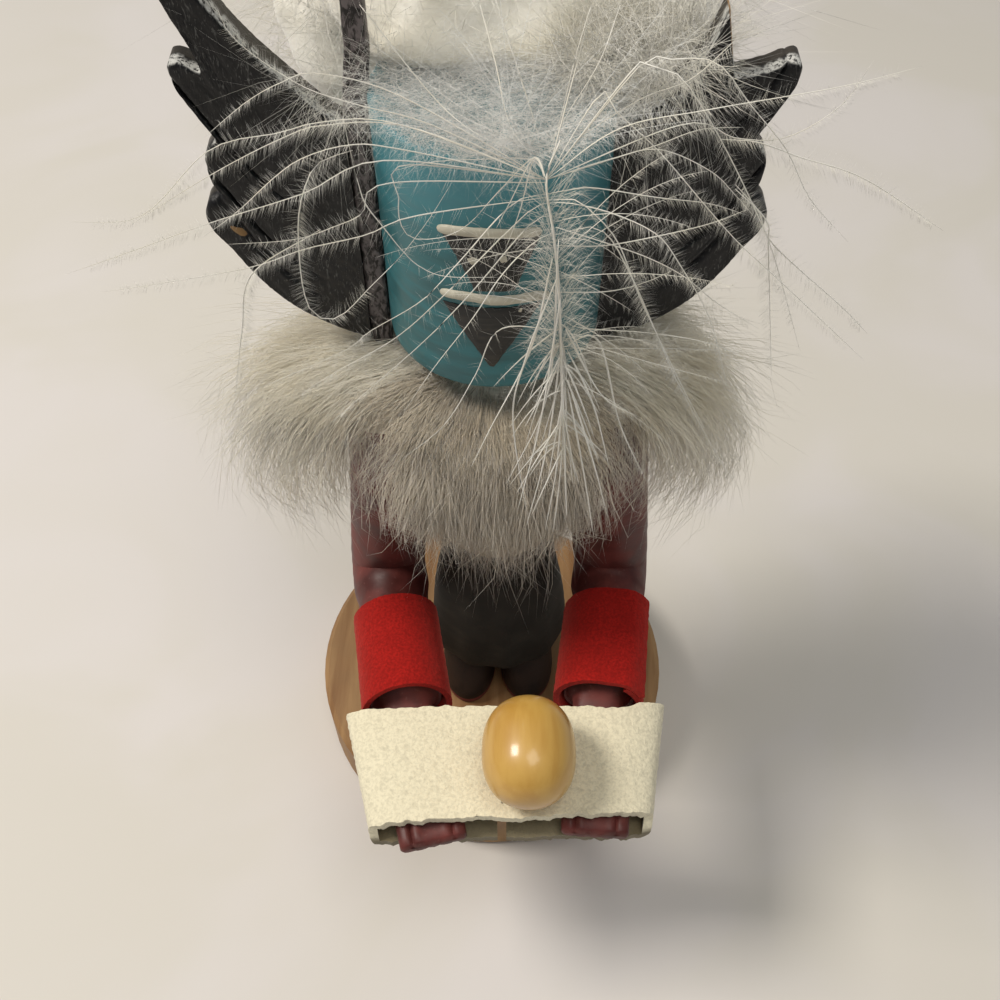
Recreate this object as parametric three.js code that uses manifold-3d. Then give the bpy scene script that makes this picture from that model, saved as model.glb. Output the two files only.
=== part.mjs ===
// A small carved and painted kachina doll of the crow-mother kind: it stands on a round wooden
// base and holds a folded suede band with a wooden bead on it out in front.
// Millimetres, +Z up. The doll faces -Y, and the origin is the centre of the base's underside.
// Left and right are as seen from the front, so left is -X.

import * as THREE from 'three';
import { mergeVertices } from 'three/addons/utils/BufferGeometryUtils.js';
import Module from 'manifold-3d';

const wasm = await Module();
wasm.setup();

// ---------------------------------------------------------------- driving dimensions

const FIT = 0.3; // clear gap between pieces that touch

const BASE_RADIUS = 31.75;
const BASE_HEIGHT = 12;
const BASE_EDGE = 0.9; // rounding of the base's edges

const BODY_X = 1.1; // the figure stands a touch to the right of the base's centre
const DRESS_HEM = 24;
const DRESS_HEM_HALF = { x: 11.8, y: 9.2 };
const WAIST = { z: 57, x: 8.4, y: 7.6 };
const SHOULDER = { z: 86, x: 7.1, y: 7.2 };
const NECK_RADIUS = 6.2;
const BOOT = { x: 5.3, halfWidth: 4.7, halfLength: 7.4, forward: 2.2, height: 14 };
const INSTEP = { taper: 4.2, lean: 3.4 }; // how a boot shortens and leans back as it rises

const HEAD_X = 0.8;
const HEAD_RADIUS = 12.7;
const CHIN_Z = 102.3;
const CROWN_Z = 133.9;
const HEAD_EDGE = 0.5;

const ARM_RADIUS = 6.1; // upper arm and elbow
const FOREARM_RADIUS = 5.5; // where the cuff sits
const WRIST_RADIUS = 3.7;
const SHOULDER_Z = 86;
const ELBOW = { y: 1, z: 45 };
const HAND = { width: 9.6, thickness: 3.4, z: 47.3 };
const FINGER_GROOVE = { count: 4, length: 10, width: 0.7 };
const ARMS = {
  left: { shoulderX: -12.9, elbowX: -17.1, wrist: [-12.1, -28.8], tip: [-7.6, -47.9], cuff: 11.8 },
  right: { shoulderX: 15.5, elbowX: 19.9, wrist: [16, -27.9], tip: [14.7, -46.6], cuff: 10.9 },
};

const CUFF = { length: 17, wall: 1.0, flare: 0.15 };

const BAND = { left: -21.2, right: 26, back: -28.9, front: -45.4, wall: 1.5 };
const BAND_SLACK = 0.5; // room between the band and the hands, above and below
const BAND_TAPER = { left: 4.2, right: 2.8 }; // how much further in its front corners are
const BAND_DROOP = 1.3; // how far the band's ends hang below its middle

const BEAD = { x: 5.4, y: -38.7, radius: 6.3, halfLength: 7.9 };

const WING = { thickness: 3.4, low: 99.4, high: 130.4, rootLeft: 14.9, rootRight: 13.8 };
const GROOVE = { width: 0.9, depth: 0.55 };

const STICK = { x: -13.35, width: 2.3, depth: 2.8, low: 97.7, high: 152 };

const RUFF = { top: 101.4, low: 71.5, outer: { x: 32, y: 20.5 }, inner: { x: 23.9, y: 10.8 } };

const DOWN = { y: 19, z: 131.5, x: 24.5, depth: 14.3, height: 19 };
const FEATHER = { halfWidth: 3.2, halfThickness: 0.8 };
const BARB_HALF = 0.75; // half the thickness of one stand-in for a bundle of long barbs
const BARB_REACH = 42; // how far the longest bundles reach sideways

const ROUND = 48; // segments round the larger pieces
const LIMB = 20; // segments round an arm

// ---------------------------------------------------------------- materials

const finish = (color, roughness, metalness = 0) =>
  new THREE.MeshStandardMaterial({ color, roughness, metalness });

const FINISH = {
  pine: () => finish(0xb08d5c, 0.62),
  blackPaint: () => finish(0x1c1b1b, 0.45),
  turquoise: () => finish(0x2f9aa8, 0.5),
  maroon: () => finish(0x6a2326, 0.42),
  redSuede: () => finish(0xb02219, 0.95),
  whiteSuede: () => finish(0xe9e0c4, 0.95),
  beadWood: () => finish(0xd9ad5c, 0.28),
  fur: () => finish(0xe9e4d8, 0.95),
  down: () => finish(0xf4f1e8, 0.95),
};

// ---------------------------------------------------------------- geometry helpers

// Drops all but the positions and welds equal corners, as a solid needs.
function welded(geometry) {
  const bare = geometry.clone();
  bare.deleteAttribute('normal');
  bare.deleteAttribute('uv');
  return mergeVertices(bare, 1e-4);
}

function toSolid(geometry) {
  const mesh = welded(geometry);
  return new wasm.Manifold(new wasm.Mesh({
    numProp: 3,
    vertProperties: new Float32Array(mesh.attributes.position.array),
    triVerts: new Uint32Array(mesh.index.array),
  }));
}

function toGeometry(solid) {
  const mesh = solid.getMesh();
  const geometry = new THREE.BufferGeometry();
  geometry.setAttribute('position', new THREE.BufferAttribute(mesh.vertProperties, 3));
  geometry.setIndex(new THREE.BufferAttribute(mesh.triVerts, 1));
  geometry.computeVertexNormals();
  return geometry;
}

const join = (first, ...rest) =>
  toGeometry(rest.reduce((sum, piece) => sum.add(toSolid(piece)), toSolid(first)));

const cut = (geometry, ...tools) =>
  toGeometry(tools.reduce((left, tool) => left.subtract(toSolid(tool)), toSolid(geometry)));

// Six times the signed volume, so its sign tells which way the faces point.
function signedVolume(points, index) {
  let sum = 0;
  for (let i = 0; i < index.length; i += 3) {
    const [a, b, c] = [points[index[i]], points[index[i + 1]], points[index[i + 2]]];
    sum += a.dot(b.clone().cross(c));
  }
  return sum;
}

// A closed skin over equal rings of points. With closed ends each end gets a fan of triangles;
// with a looped skin the last ring joins the first.
function skin(rings, looped = false) {
  const count = rings[0].length;
  const points = rings.flat();
  const index = [];
  const last = looped ? rings.length : rings.length - 1;
  for (let i = 0; i < last; i += 1) {
    const here = i * count;
    const next = ((i + 1) % rings.length) * count;
    for (let j = 0; j < count; j += 1) {
      const k = (j + 1) % count;
      index.push(here + j, here + k, next + k, here + j, next + k, next + j);
    }
  }
  if (!looped) {
    for (const [ring, turn] of [[0, -1], [rings.length - 1, 1]]) {
      const middle = rings[ring].reduce((sum, p) => sum.add(p), new THREE.Vector3());
      points.push(middle.divideScalar(count));
      for (let j = 0; j < count; j += 1) {
        const edge = [ring * count + j, ring * count + ((j + 1) % count)];
        if (turn < 0) edge.reverse();
        index.push(edge[0], edge[1], points.length - 1);
      }
    }
  }
  if (signedVolume(points, index) < 0) index.reverse();
  const geometry = new THREE.BufferGeometry().setFromPoints(points);
  geometry.setIndex(index);
  geometry.computeVertexNormals();
  return geometry;
}

// A level ellipse of points round (x, y) at height z.
function ellipse(x, y, z, halfX, halfY, count = ROUND) {
  return Array.from({ length: count }, (_, j) => {
    const turn = (2 * Math.PI * j) / count;
    return new THREE.Vector3(x + halfX * Math.cos(turn), y + halfY * Math.sin(turn), z);
  });
}

// An oval section square to a path at one of its points. The section's first axis stays near +X.
// power 2 is an ellipse, and higher powers square its corners.
function section(centre, along, halfWidth, halfThickness, count, power = 2) {
  const side = new THREE.Vector3(1, 0, 0);
  side.addScaledVector(along, -side.dot(along)).normalize();
  const up = new THREE.Vector3().crossVectors(along, side).normalize();
  const bulge = (value) => Math.sign(value) * Math.abs(value) ** (2 / power);
  return Array.from({ length: count }, (_, j) => {
    const turn = (2 * Math.PI * j) / count;
    return centre.clone()
      .addScaledVector(side, halfWidth * bulge(Math.cos(turn)))
      .addScaledVector(up, halfThickness * bulge(Math.sin(turn)));
  });
}

function lathe(profile, segments = ROUND) {
  const points = profile.map(([radius, height]) => new THREE.Vector2(radius, height));
  return new THREE.LatheGeometry(points, segments).rotateX(Math.PI / 2);
}

// A board standing in the X-Z plane, centred on Y = 0.
function board(shape, thickness) {
  const geometry = new THREE.ExtrudeGeometry(shape, {
    depth: thickness, bevelEnabled: false, curveSegments: 8,
  });
  return geometry.translate(0, 0, -thickness / 2).rotateX(Math.PI / 2);
}

const blend = (from, to, share) => from + (to - from) * share;

function named(name, geometry, material) {
  const mesh = new THREE.Mesh(geometry, material);
  mesh.name = name;
  return mesh;
}

// ---------------------------------------------------------------- base and body

function makeBase() {
  const profile = [
    [0, 0], [BASE_RADIUS - BASE_EDGE, 0], [BASE_RADIUS, BASE_EDGE],
    [BASE_RADIUS, BASE_HEIGHT - BASE_EDGE], [BASE_RADIUS - BASE_EDGE, BASE_HEIGHT],
    [0, BASE_HEIGHT],
  ];
  return named('base', lathe(profile, 64), FINISH.pine());
}

// A boot is a short upright oval with its toe forward, rounded over the instep.
function makeBoot(side) {
  const x = BODY_X + side * BOOT.x;
  const foot = BASE_HEIGHT + FIT;
  const rings = [0, 0.2, 0.45, 0.7, 1].map((rise) => {
    const instep = Math.max(0, rise - 0.25);
    const halfY = BOOT.halfLength - INSTEP.taper * instep;
    const y = -BOOT.forward + INSTEP.lean * instep;
    return ellipse(x, y, foot + BOOT.height * rise, BOOT.halfWidth - 0.4 * rise, halfY, 24);
  });
  return skin(rings);
}

// The dress is one long taper from the hem to the waist and the shoulders, with the neck on top.
function makeBody() {
  const levels = [
    [DRESS_HEM, DRESS_HEM_HALF.x - 1, DRESS_HEM_HALF.y - 1],
    [DRESS_HEM + 1, DRESS_HEM_HALF.x, DRESS_HEM_HALF.y],
    [blend(DRESS_HEM, WAIST.z, 0.45), DRESS_HEM_HALF.x - 0.9, DRESS_HEM_HALF.y - 0.4],
    [WAIST.z - 4, WAIST.x + 0.3, WAIST.y + 0.2],
    [WAIST.z, WAIST.x, WAIST.y],
    [blend(WAIST.z, SHOULDER.z, 0.5), WAIST.x - 0.2, WAIST.y],
    [SHOULDER.z, SHOULDER.x, SHOULDER.y],
    [SHOULDER.z + 4, SHOULDER.x - 0.8, SHOULDER.y - 0.5],
    [SHOULDER.z + 7, NECK_RADIUS, NECK_RADIUS],
    [CHIN_Z - FIT, NECK_RADIUS, NECK_RADIUS],
  ];
  const trunk = skin(levels.map(([z, x, y]) => ellipse(BODY_X, 0, z, x, y, 32)));
  return named('body', join(trunk, makeBoot(-1), makeBoot(1)), FINISH.blackPaint());
}

function makeHead() {
  const profile = [
    [0, CHIN_Z], [HEAD_RADIUS - HEAD_EDGE, CHIN_Z], [HEAD_RADIUS, CHIN_Z + HEAD_EDGE],
    [HEAD_RADIUS, CROWN_Z - HEAD_EDGE], [HEAD_RADIUS - HEAD_EDGE, CROWN_Z], [0, CROWN_Z],
  ];
  const head = named('head', lathe(profile, 64), FINISH.turquoise());
  head.position.x = HEAD_X;
  return head;
}

// ---------------------------------------------------------------- arms, cuffs, band and bead

// Upper arm down to the elbow, a short bend, the forearm forward to the wrist and a flat hand.
function armStations({ shoulderX, elbowX, wrist, tip, cuff }) {
  const shoulder = new THREE.Vector3(shoulderX, 0, SHOULDER_Z);
  const elbow = new THREE.Vector3(elbowX, ELBOW.y, ELBOW.z);
  const hand = new THREE.Vector3(wrist[0], wrist[1], HAND.z - 0.2);
  const end = new THREE.Vector3(tip[0], tip[1], HAND.z);
  const down = elbow.clone().sub(shoulder).normalize();
  const ahead = hand.clone().sub(elbow).normalize();
  const reach = end.clone().sub(hand);
  const palm = reach.clone().normalize();
  const stations = [];
  const add = (centre, along, halfWidth, halfThickness, power) =>
    stations.push(section(centre, along, halfWidth, halfThickness, LIMB, power));
  for (const [rise, share] of [[3.4, 0.45], [2.4, 0.78], [0, 1]]) {
    add(shoulder.clone().addScaledVector(down, -rise), down, ARM_RADIUS * share, ARM_RADIUS * share);
  }
  add(shoulder.clone().lerp(elbow, 0.5), down, ARM_RADIUS, ARM_RADIUS);
  for (const share of [0, 0.25, 0.5, 0.75, 1]) {
    const along = down.clone().lerp(ahead, share).normalize();
    const out = down.clone().multiplyScalar(share - 1).addScaledVector(ahead, share);
    add(elbow.clone().addScaledVector(out, 4.6), along, ARM_RADIUS, ARM_RADIUS);
  }
  add(elbow.clone().addScaledVector(ahead, cuff - 0.8), ahead, FOREARM_RADIUS, FOREARM_RADIUS);
  add(hand.clone().addScaledVector(ahead, -4), ahead, FOREARM_RADIUS, FOREARM_RADIUS);
  add(hand.clone().addScaledVector(ahead, -2.6), ahead, WRIST_RADIUS, WRIST_RADIUS);
  const width = HAND.width / 2;
  const half = HAND.thickness / 2;
  add(hand, palm, WRIST_RADIUS, half + 0.2, 2.4);
  add(hand.clone().addScaledVector(reach, 0.22), palm, width * 0.94, half, 3);
  add(hand.clone().addScaledVector(reach, 0.55), palm, width, half, 3.4);
  add(hand.clone().addScaledVector(reach, 0.96), palm, width, half * 0.95, 3.4);
  add(end, palm, width * 0.94, half * 0.75, 3);
  return { stations, elbow, ahead, end, palm };
}

// Fingers are cut apart by square-section grooves, laid edge down along the hand.
function fingerGrooves(end, palm) {
  const side = new THREE.Vector3(1, 0, 0);
  side.addScaledVector(palm, -side.dot(palm)).normalize();
  const up = new THREE.Vector3().crossVectors(palm, side).normalize();
  if (up.z < 0) up.negate();
  const turn = new THREE.Matrix4().makeBasis(side, palm.clone(), side.clone().cross(palm));
  const { count, length, width } = FINGER_GROOVE;
  return Array.from({ length: count }, (_, i) => {
    const across = ((i + 1) / (count + 1) - 0.5) * HAND.width;
    const tool = new THREE.BoxGeometry(width, length, width).rotateY(Math.PI / 4).applyMatrix4(turn);
    const at = end.clone()
      .addScaledVector(side, across)
      .addScaledVector(up, HAND.thickness / 2 + 0.05)
      .addScaledVector(palm, -length / 2 + 1);
    return tool.translate(at.x, at.y, at.z);
  });
}

function makeArm(side) {
  const { stations, end, palm } = armStations(ARMS[side]);
  const carved = cut(skin(stations), ...fingerGrooves(end, palm));
  return named(`arm_${side}`, carved, FINISH.maroon());
}

// A cuff is a short tube of suede round the forearm, a little wider at the hand.
function makeCuff(side) {
  const { elbow, ahead } = armStations(ARMS[side]);
  const inner = FOREARM_RADIUS + FIT;
  const profile = [
    [inner, 0], [inner + CUFF.wall, 0],
    [inner + CUFF.wall + CUFF.flare, CUFF.length], [inner + CUFF.flare, CUFF.length], [inner, 0],
  ];
  const points = profile.map(([radius, along]) => new THREE.Vector2(radius, along));
  const cuff = named(`cuff_${side}`, new THREE.LatheGeometry(points, 36), FINISH.redSuede());
  cuff.quaternion.setFromUnitVectors(new THREE.Vector3(0, 1, 0), ahead);
  cuff.position.copy(elbow).addScaledVector(ahead, ARMS[side].cuff);
  return cuff;
}

// The band is a flat loop of suede: over the hands, down round each end and back under them. Its
// strip-shaped section is carried round the loop, and its lower layer reaches a little further
// forward towards the right end.
function makeBand() {
  const clear = HAND.thickness / 2 + FIT + BAND_SLACK;
  const high = HAND.z + clear + BAND.wall / 2;
  const low = HAND.z - clear - BAND.wall / 2;
  const middle = new THREE.Vector2((BAND.left + BAND.right) / 2, (high + low) / 2);
  const halfX = (BAND.right - BAND.left - BAND.wall) / 2;
  const halfZ = (high - low) / 2;
  const squareness = 8; // a superellipse this square is flat above and below and round at its ends
  const steps = 64;
  const onLoop = (turn) => {
    const bulge = (value, power) => Math.sign(value) * Math.abs(value) ** (2 / power);
    const x = halfX * bulge(Math.cos(turn), 2.6);
    const droop = BAND_DROOP * Math.abs(x / halfX) ** 6;
    return new THREE.Vector2(middle.x + x, middle.y + halfZ * bulge(Math.sin(turn), squareness) - droop);
  };
  const rings = Array.from({ length: steps }, (_, i) => {
    const turn = (2 * Math.PI * (i + 0.5)) / steps;
    const at = onLoop(turn);
    const along = onLoop(turn + 0.02).sub(onLoop(turn - 0.02)).normalize();
    const out = new THREE.Vector2(along.y, -along.x).multiplyScalar(BAND.wall / 2);
    const lower = Math.max(0, -Math.sin(turn));
    const front = BAND.front - lower * (0.5 + 0.5 * Math.max(0, Math.cos(turn)));
    const inset = at.x < middle.x ? BAND_TAPER.left : BAND_TAPER.right;
    const narrower = (y) => 1 - (inset / halfX) * ((BAND.back - y) / (BAND.back - BAND.front));
    return [[1, BAND.back], [1, front], [-1, front], [-1, BAND.back]].map(([side, y]) => {
      const x = middle.x + (at.x - middle.x) * narrower(y);
      return new THREE.Vector3(x + side * out.x, y, at.y + side * out.y);
    });
  });
  const mesh = named('hand_band', skin(rings, true), FINISH.whiteSuede());
  return { mesh, top: high + BAND.wall / 2 };
}

// The bead is an egg lying front to back: a circle's profile stretched and a little fuller in front.
function makeBead(rest) {
  const steps = 14;
  const profile = Array.from({ length: steps + 1 }, (_, i) => {
    const turn = (Math.PI * i) / steps;
    const fuller = 1 + 0.05 * Math.cos(turn);
    const radius = i % steps === 0 ? 0 : BEAD.radius * Math.sin(turn) * fuller;
    return new THREE.Vector2(radius, -BEAD.halfLength * Math.cos(turn));
  });
  const bead = named('bead', new THREE.LatheGeometry(profile, 28), FINISH.beadWood());
  bead.position.set(BEAD.x, BEAD.y, rest + FIT + BEAD.radius);
  return bead;
}

// ---------------------------------------------------------------- wings and side stick

// One wing's outline, for the right side: a rounded lower edge, two blunt feather ends, a longer
// pointed second feather and the top feather, which is whole on one wing and broken off on the other.
function wingShape(root, broken) {
  const shape = new THREE.Shape();
  shape.moveTo(root, WING.low);
  shape.quadraticCurveTo(24.6, 104.6, 28.9, 113.4);
  shape.quadraticCurveTo(31, 116, 31.1, 118.3);
  shape.lineTo(30, 120.7);
  shape.lineTo(28.4, 121.4);
  shape.quadraticCurveTo(30.6, 123.6, 29.2, 127);
  shape.lineTo(28.1, 128.7);
  shape.lineTo(31.1, 135.2);
  shape.quadraticCurveTo(31.1, 136.8, 30.1, 137.4);
  if (broken) {
    shape.lineTo(27.8, 136.1);
    shape.lineTo(24.8, 135.4);
    shape.lineTo(23.8, 139.3);
    shape.lineTo(22.9, 142.8);
    shape.lineTo(21.3, 138.2);
  } else {
    shape.lineTo(27.7, 136.4);
    shape.quadraticCurveTo(30, 143, 31.6, 149.4);
    shape.quadraticCurveTo(31.4, 151.6, 29.9, 150.4);
    shape.quadraticCurveTo(26.6, 144.4, 23.2, 139.1);
  }
  shape.lineTo(18.1, 133.5);
  shape.lineTo(root, WING.high);
  shape.closePath();
  return shape;
}

// Grooves between the feathers fan out from a point at the side of the head to the notches.
function wingGrooves() {
  const from = new THREE.Vector2(11, 108);
  const ends = [[29.5, 121.2], [29.5, 128.6], [28, 136.8], [30.8, 112.8]];
  return ends.map(([x, z]) => {
    const run = new THREE.Vector2(x, z).sub(from);
    const start = from.clone().addScaledVector(run, 0.36);
    const middle = start.clone().add(new THREE.Vector2(x, z)).multiplyScalar(0.5);
    const length = start.distanceTo(new THREE.Vector2(x, z)) + 3;
    const tool = new THREE.BoxGeometry(length, GROOVE.width, GROOVE.width);
    tool.rotateX(Math.PI / 4).rotateY(-run.angle());
    const proud = WING.thickness / 2 + GROOVE.width * Math.SQRT1_2 - GROOVE.depth;
    return tool.translate(middle.x, -proud, middle.y);
  });
}

function makeWing(side) {
  const left = side === 'left';
  const shape = wingShape(left ? WING.rootLeft : WING.rootRight, !left);
  const geometry = cut(board(shape, WING.thickness), ...wingGrooves());
  if (left) {
    geometry.scale(-1, 1, 1);
    geometry.index.array.reverse();
  }
  return named(`wing_${side}`, geometry, FINISH.blackPaint());
}

// A narrow stick, rounded at its foot. Above the crown it steps in over the head and tapers.
function makeStick() {
  const half = STICK.width / 2;
  const shape = new THREE.Shape();
  shape.moveTo(STICK.x - half, STICK.low + half);
  shape.absarc(STICK.x, STICK.low + half, half, Math.PI, 2 * Math.PI, false);
  shape.lineTo(STICK.x + half, CROWN_Z + FIT);
  shape.lineTo(STICK.x + half + 0.8, CROWN_Z + 3);
  shape.lineTo(STICK.x + half + 0.5, STICK.high - 1);
  shape.lineTo(STICK.x + half, STICK.high);
  shape.lineTo(STICK.x - half + 1.4, STICK.high - 1);
  shape.lineTo(STICK.x - half + 0.5, CROWN_Z);
  shape.lineTo(STICK.x - half, CROWN_Z - 6);
  shape.closePath();
  return named('side_stick', board(shape, STICK.depth), FINISH.blackPaint());
}

// ---------------------------------------------------------------- fur and feathers

// The ruff hangs from the neck like a thick short cape. Its section is carried round an oval, and
// its hem swings gently in and out.
function makeRuff() {
  const { inner, outer, top, low } = RUFF;
  const wall = [
    [7, 7, top], [10.6, 10, top - 0.3], [12, 11, top - 4.1], [20, 15, top - 4.6],
    [27.5, 18.4, top - 8], [outer.x, outer.y, top - 15.5], [outer.x - 1, outer.y - 0.4, low + 6],
    [28, 16.6, low], [25.2, 13.2, low + 1.2], [inner.x, inner.y, low + 9],
    [inner.x - 0.2, inner.y, top - 11], [15, 9.2, top - 9.6], [7, 7, top - 9],
  ];
  const rings = wall.map(([halfX, halfY, z], i) => {
    const loose = i >= 4 && i <= 7 ? 1 : 0;
    return ellipse(HEAD_X, 0, z, halfX, halfY).map((point, j) => {
      const turn = (2 * Math.PI * j) / ROUND;
      const swing = 0.5 * loose * Math.sin(7 * turn) + 0.4 * loose * Math.cos(4 * turn + 1);
      point.x += swing * Math.cos(turn);
      point.y += swing * Math.sin(turn);
      point.z += i === 7 ? 1.2 * Math.sin(5 * turn) : 0;
      return point;
    });
  });
  return named('fur_ruff', skin(rings, true), FINISH.fur());
}

// A ball of down: a sphere stretched to its three half sizes, with soft lobes all over.
function downBall(centre, half, lobes, seed) {
  const ball = new THREE.SphereGeometry(1, 24, 14);
  const { position } = ball.attributes;
  const point = new THREE.Vector3();
  for (let i = 0; i < position.count; i += 1) {
    point.fromBufferAttribute(position, i);
    const lobe = Math.sin(4 * point.x + seed) * Math.cos(5 * point.z - seed) * Math.sin(3 * point.y);
    point.multiplyScalar(1 + lobes * lobe);
    position.setXYZ(i, point.x * half[0], point.y * half[1], point.z * half[2]);
  }
  return ball.translate(...centre);
}

// The down stands behind the head, with a thin cap of it over the crown, and fits the head.
function makeDown() {
  const mass = downBall([HEAD_X, DOWN.y, DOWN.z], [DOWN.x, DOWN.depth, DOWN.height], 0.08, 1);
  const cap = downBall([HEAD_X, 3.5, CROWN_Z + 3.5], [11, 10.5, 4.8], 0.05, 2);
  const deep = 60; // taller than the head, so the cut runs out below the down
  const head = new THREE.CylinderGeometry(HEAD_RADIUS + FIT, HEAD_RADIUS + FIT, deep, 64);
  head.rotateX(Math.PI / 2).translate(HEAD_X, 0, CROWN_Z + FIT - deep / 2);
  return named('plume_down', cut(join(mass, cap), head), FINISH.down());
}

// A tapered strand along a smooth curve through its points.
function strand(points, halfWidth, halfThickness, steps, count) {
  const curve = new THREE.CatmullRomCurve3(points.map((p) => new THREE.Vector3(...p)));
  const rings = Array.from({ length: steps + 1 }, (_, i) => {
    const share = i / steps;
    const taper = 0.3 + 0.7 * Math.sin(Math.PI * blend(0.12, 0.94, share));
    return section(curve.getPointAt(share), curve.getTangentAt(share),
      halfWidth * taper, halfThickness * taper, count);
  });
  return skin(rings);
}

// A strand whose section keeps its first axis near +Z, for the barbs that run sideways.
function barb(points) {
  const curve = new THREE.CatmullRomCurve3(points.map((p) => new THREE.Vector3(...p)));
  const steps = 7;
  const rings = Array.from({ length: steps + 1 }, (_, i) => {
    const share = i / steps;
    const along = curve.getTangentAt(share);
    const up = new THREE.Vector3(0, 0, 1).addScaledVector(along, -along.z).normalize();
    const side = new THREE.Vector3().crossVectors(along, up);
    const half = BARB_HALF * (1 - 0.75 * share);
    return [0, 1, 2, 3, 4].map((j) => curve.getPointAt(share).clone()
      .addScaledVector(up, half * 1.4 * Math.cos((2 * Math.PI * j) / 5))
      .addScaledVector(side, half * Math.sin((2 * Math.PI * j) / 5)));
  });
  return skin(rings);
}

// The feather leaves the down at the crown, arches forward and falls in front of the mask, with
// bundles of its longest barbs reaching out over both wings.
function makeFeather() {
  const shaft = strand([
    [12.5, -9, 146], [8, -15, 142], [6.5, -18.5, 135], [7, -20, 125],
    [7.8, -21.5, 113], [8.4, -23.5, 101], [9, -25, 90],
  ], FEATHER.halfWidth, FEATHER.halfThickness, 14, 10);
  const bundles = [
    [[7, -18, 137], [-16, -15, 134.5], [-BARB_REACH, -10, 125]],
    [[7, -20, 127], [-14, -21, 122.5], [-BARB_REACH + 4, -20, 116]],
    [[7, -16.5, 140], [21, -15.5, 143.5], [BARB_REACH - 4, -14, 147]],
    [[7, -19, 133], [24, -17, 132.5], [BARB_REACH, -14, 127.5]],
    [[7.4, -20.5, 122], [23, -20.5, 122.5], [BARB_REACH - 4, -20, 117]],
  ];
  return named('plume_feather', join(shaft, ...bundles.map(barb)), FINISH.down());
}

// ---------------------------------------------------------------- the doll

const band = makeBand();
const doll = new THREE.Group();
doll.add(makeBase(), makeBody(), makeHead());
for (const side of ['left', 'right']) {
  doll.add(makeArm(side), makeCuff(side), makeWing(side));
}
doll.add(band.mesh, makeBead(band.top), makeStick(), makeRuff(), makeDown(), makeFeather());

export default doll;
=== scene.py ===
# Looks of a small carved and painted kachina doll, as a Blender add-on.
# Lengths in the code are millimetres and become metres when a mesh is made. +Z is up and the
# doll faces -Y, so left and right are as seen from the front.

import math

import bpy
import numpy as np
from bpy.props import FloatProperty, FloatVectorProperty, IntProperty, PointerProperty
from bpy.types import Operator, Panel, PropertyGroup
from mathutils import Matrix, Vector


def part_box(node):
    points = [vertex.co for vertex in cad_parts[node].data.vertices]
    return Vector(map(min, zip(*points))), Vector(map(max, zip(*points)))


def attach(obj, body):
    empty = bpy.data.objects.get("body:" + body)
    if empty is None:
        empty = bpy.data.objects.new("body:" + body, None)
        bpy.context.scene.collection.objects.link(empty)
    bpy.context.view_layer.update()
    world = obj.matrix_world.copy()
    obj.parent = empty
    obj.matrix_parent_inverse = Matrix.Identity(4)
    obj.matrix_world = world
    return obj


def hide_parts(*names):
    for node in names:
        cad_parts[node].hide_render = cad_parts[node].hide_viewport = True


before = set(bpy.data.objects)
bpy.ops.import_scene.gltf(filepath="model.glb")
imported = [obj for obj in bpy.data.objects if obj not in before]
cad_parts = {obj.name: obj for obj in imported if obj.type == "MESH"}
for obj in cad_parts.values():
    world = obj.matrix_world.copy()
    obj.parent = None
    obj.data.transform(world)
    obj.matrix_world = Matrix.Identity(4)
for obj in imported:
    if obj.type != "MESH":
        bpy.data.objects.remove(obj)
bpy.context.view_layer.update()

bl_info = {
    "name": "Kachina Doll",
    "version": (1, 0, 0),
    "blender": (4, 5, 0),
    "location": "View3D > Sidebar > Kachina",
    "description": "Builds the finished look of a carved and painted kachina doll",
    "category": "Object",
}

MM = 0.001
FULL = 2 * math.pi
HEAD_X = 0.8  # x of the head's middle line, which the ruff and the plume share


# ---- number helpers

def path_through(knots, steps):
    """A smooth line through the knots.

    Each stretch between two knots is the Catmull-Rom cubic
    half of (2b + (c - a)u + (2a - 5b + 4c - d)u^2 + (3b - a - 3c + d)u^3),
    and the result is sampled at equal steps of the knots' own length.
    """
    knots = np.asarray(knots, float)
    ends = np.vstack([2 * knots[:1] - knots[1:2], knots, 2 * knots[-1:] - knots[-2:-1]])
    gaps = np.linalg.norm(np.diff(knots, axis=0), axis=1)
    at = np.concatenate([[0], np.cumsum(gaps)])
    where = np.linspace(0, at[-1], steps)
    i = np.clip(np.searchsorted(at, where, side="right") - 1, 0, len(knots) - 2)
    u = ((where - at[i]) / gaps[i])[:, None]
    a, b, c, d = ends[i], ends[i + 1], ends[i + 2], ends[i + 3]
    return 0.5 * (2 * b + (c - a) * u + (2 * a - 5 * b + 4 * c - d) * u ** 2
                  + (3 * b - a - 3 * c + d) * u ** 3)


def lumps(points, size, seed, octaves=2):
    """Smooth noise from -1 to 1: a sum of sine waves of random direction and phase.

    Each octave adds seven waves of half the last one's length and weight.
    """
    rng = np.random.default_rng(seed)
    total = np.zeros(points.shape[:-1])
    weight, top = 1.0, 0.0
    for octave in range(octaves):
        turn = rng.normal(size=(7, 3))
        turn *= FULL / size / np.linalg.norm(turn, axis=1, keepdims=True)
        turn *= rng.uniform(0.7, 1.4, (7, 1))
        phase = rng.uniform(0, FULL, 7)
        total += weight * np.sin(points @ turn.T + phase).sum(-1) / 3.2
        top += weight
        weight, size = weight / 2, size / 2
    return np.clip(total / top, -1, 1)


def soft_step(value, low, high):
    """0 below low, 1 above high, and the smooth cubic 3u^2 - 2u^3 between."""
    u = np.clip((value - low) / (high - low), 0, 1)
    return u * u * (3 - 2 * u)


def unit(vectors):
    """Vectors brought to length one."""
    return vectors / np.maximum(np.linalg.norm(vectors, axis=-1, keepdims=True), 1e-9)


def drift(points, size, seed):
    """A slow noise vector at each point: lumps of three seeds in a row."""
    return np.stack([lumps(points, size, seed + i) for i in range(3)], -1)


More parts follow.
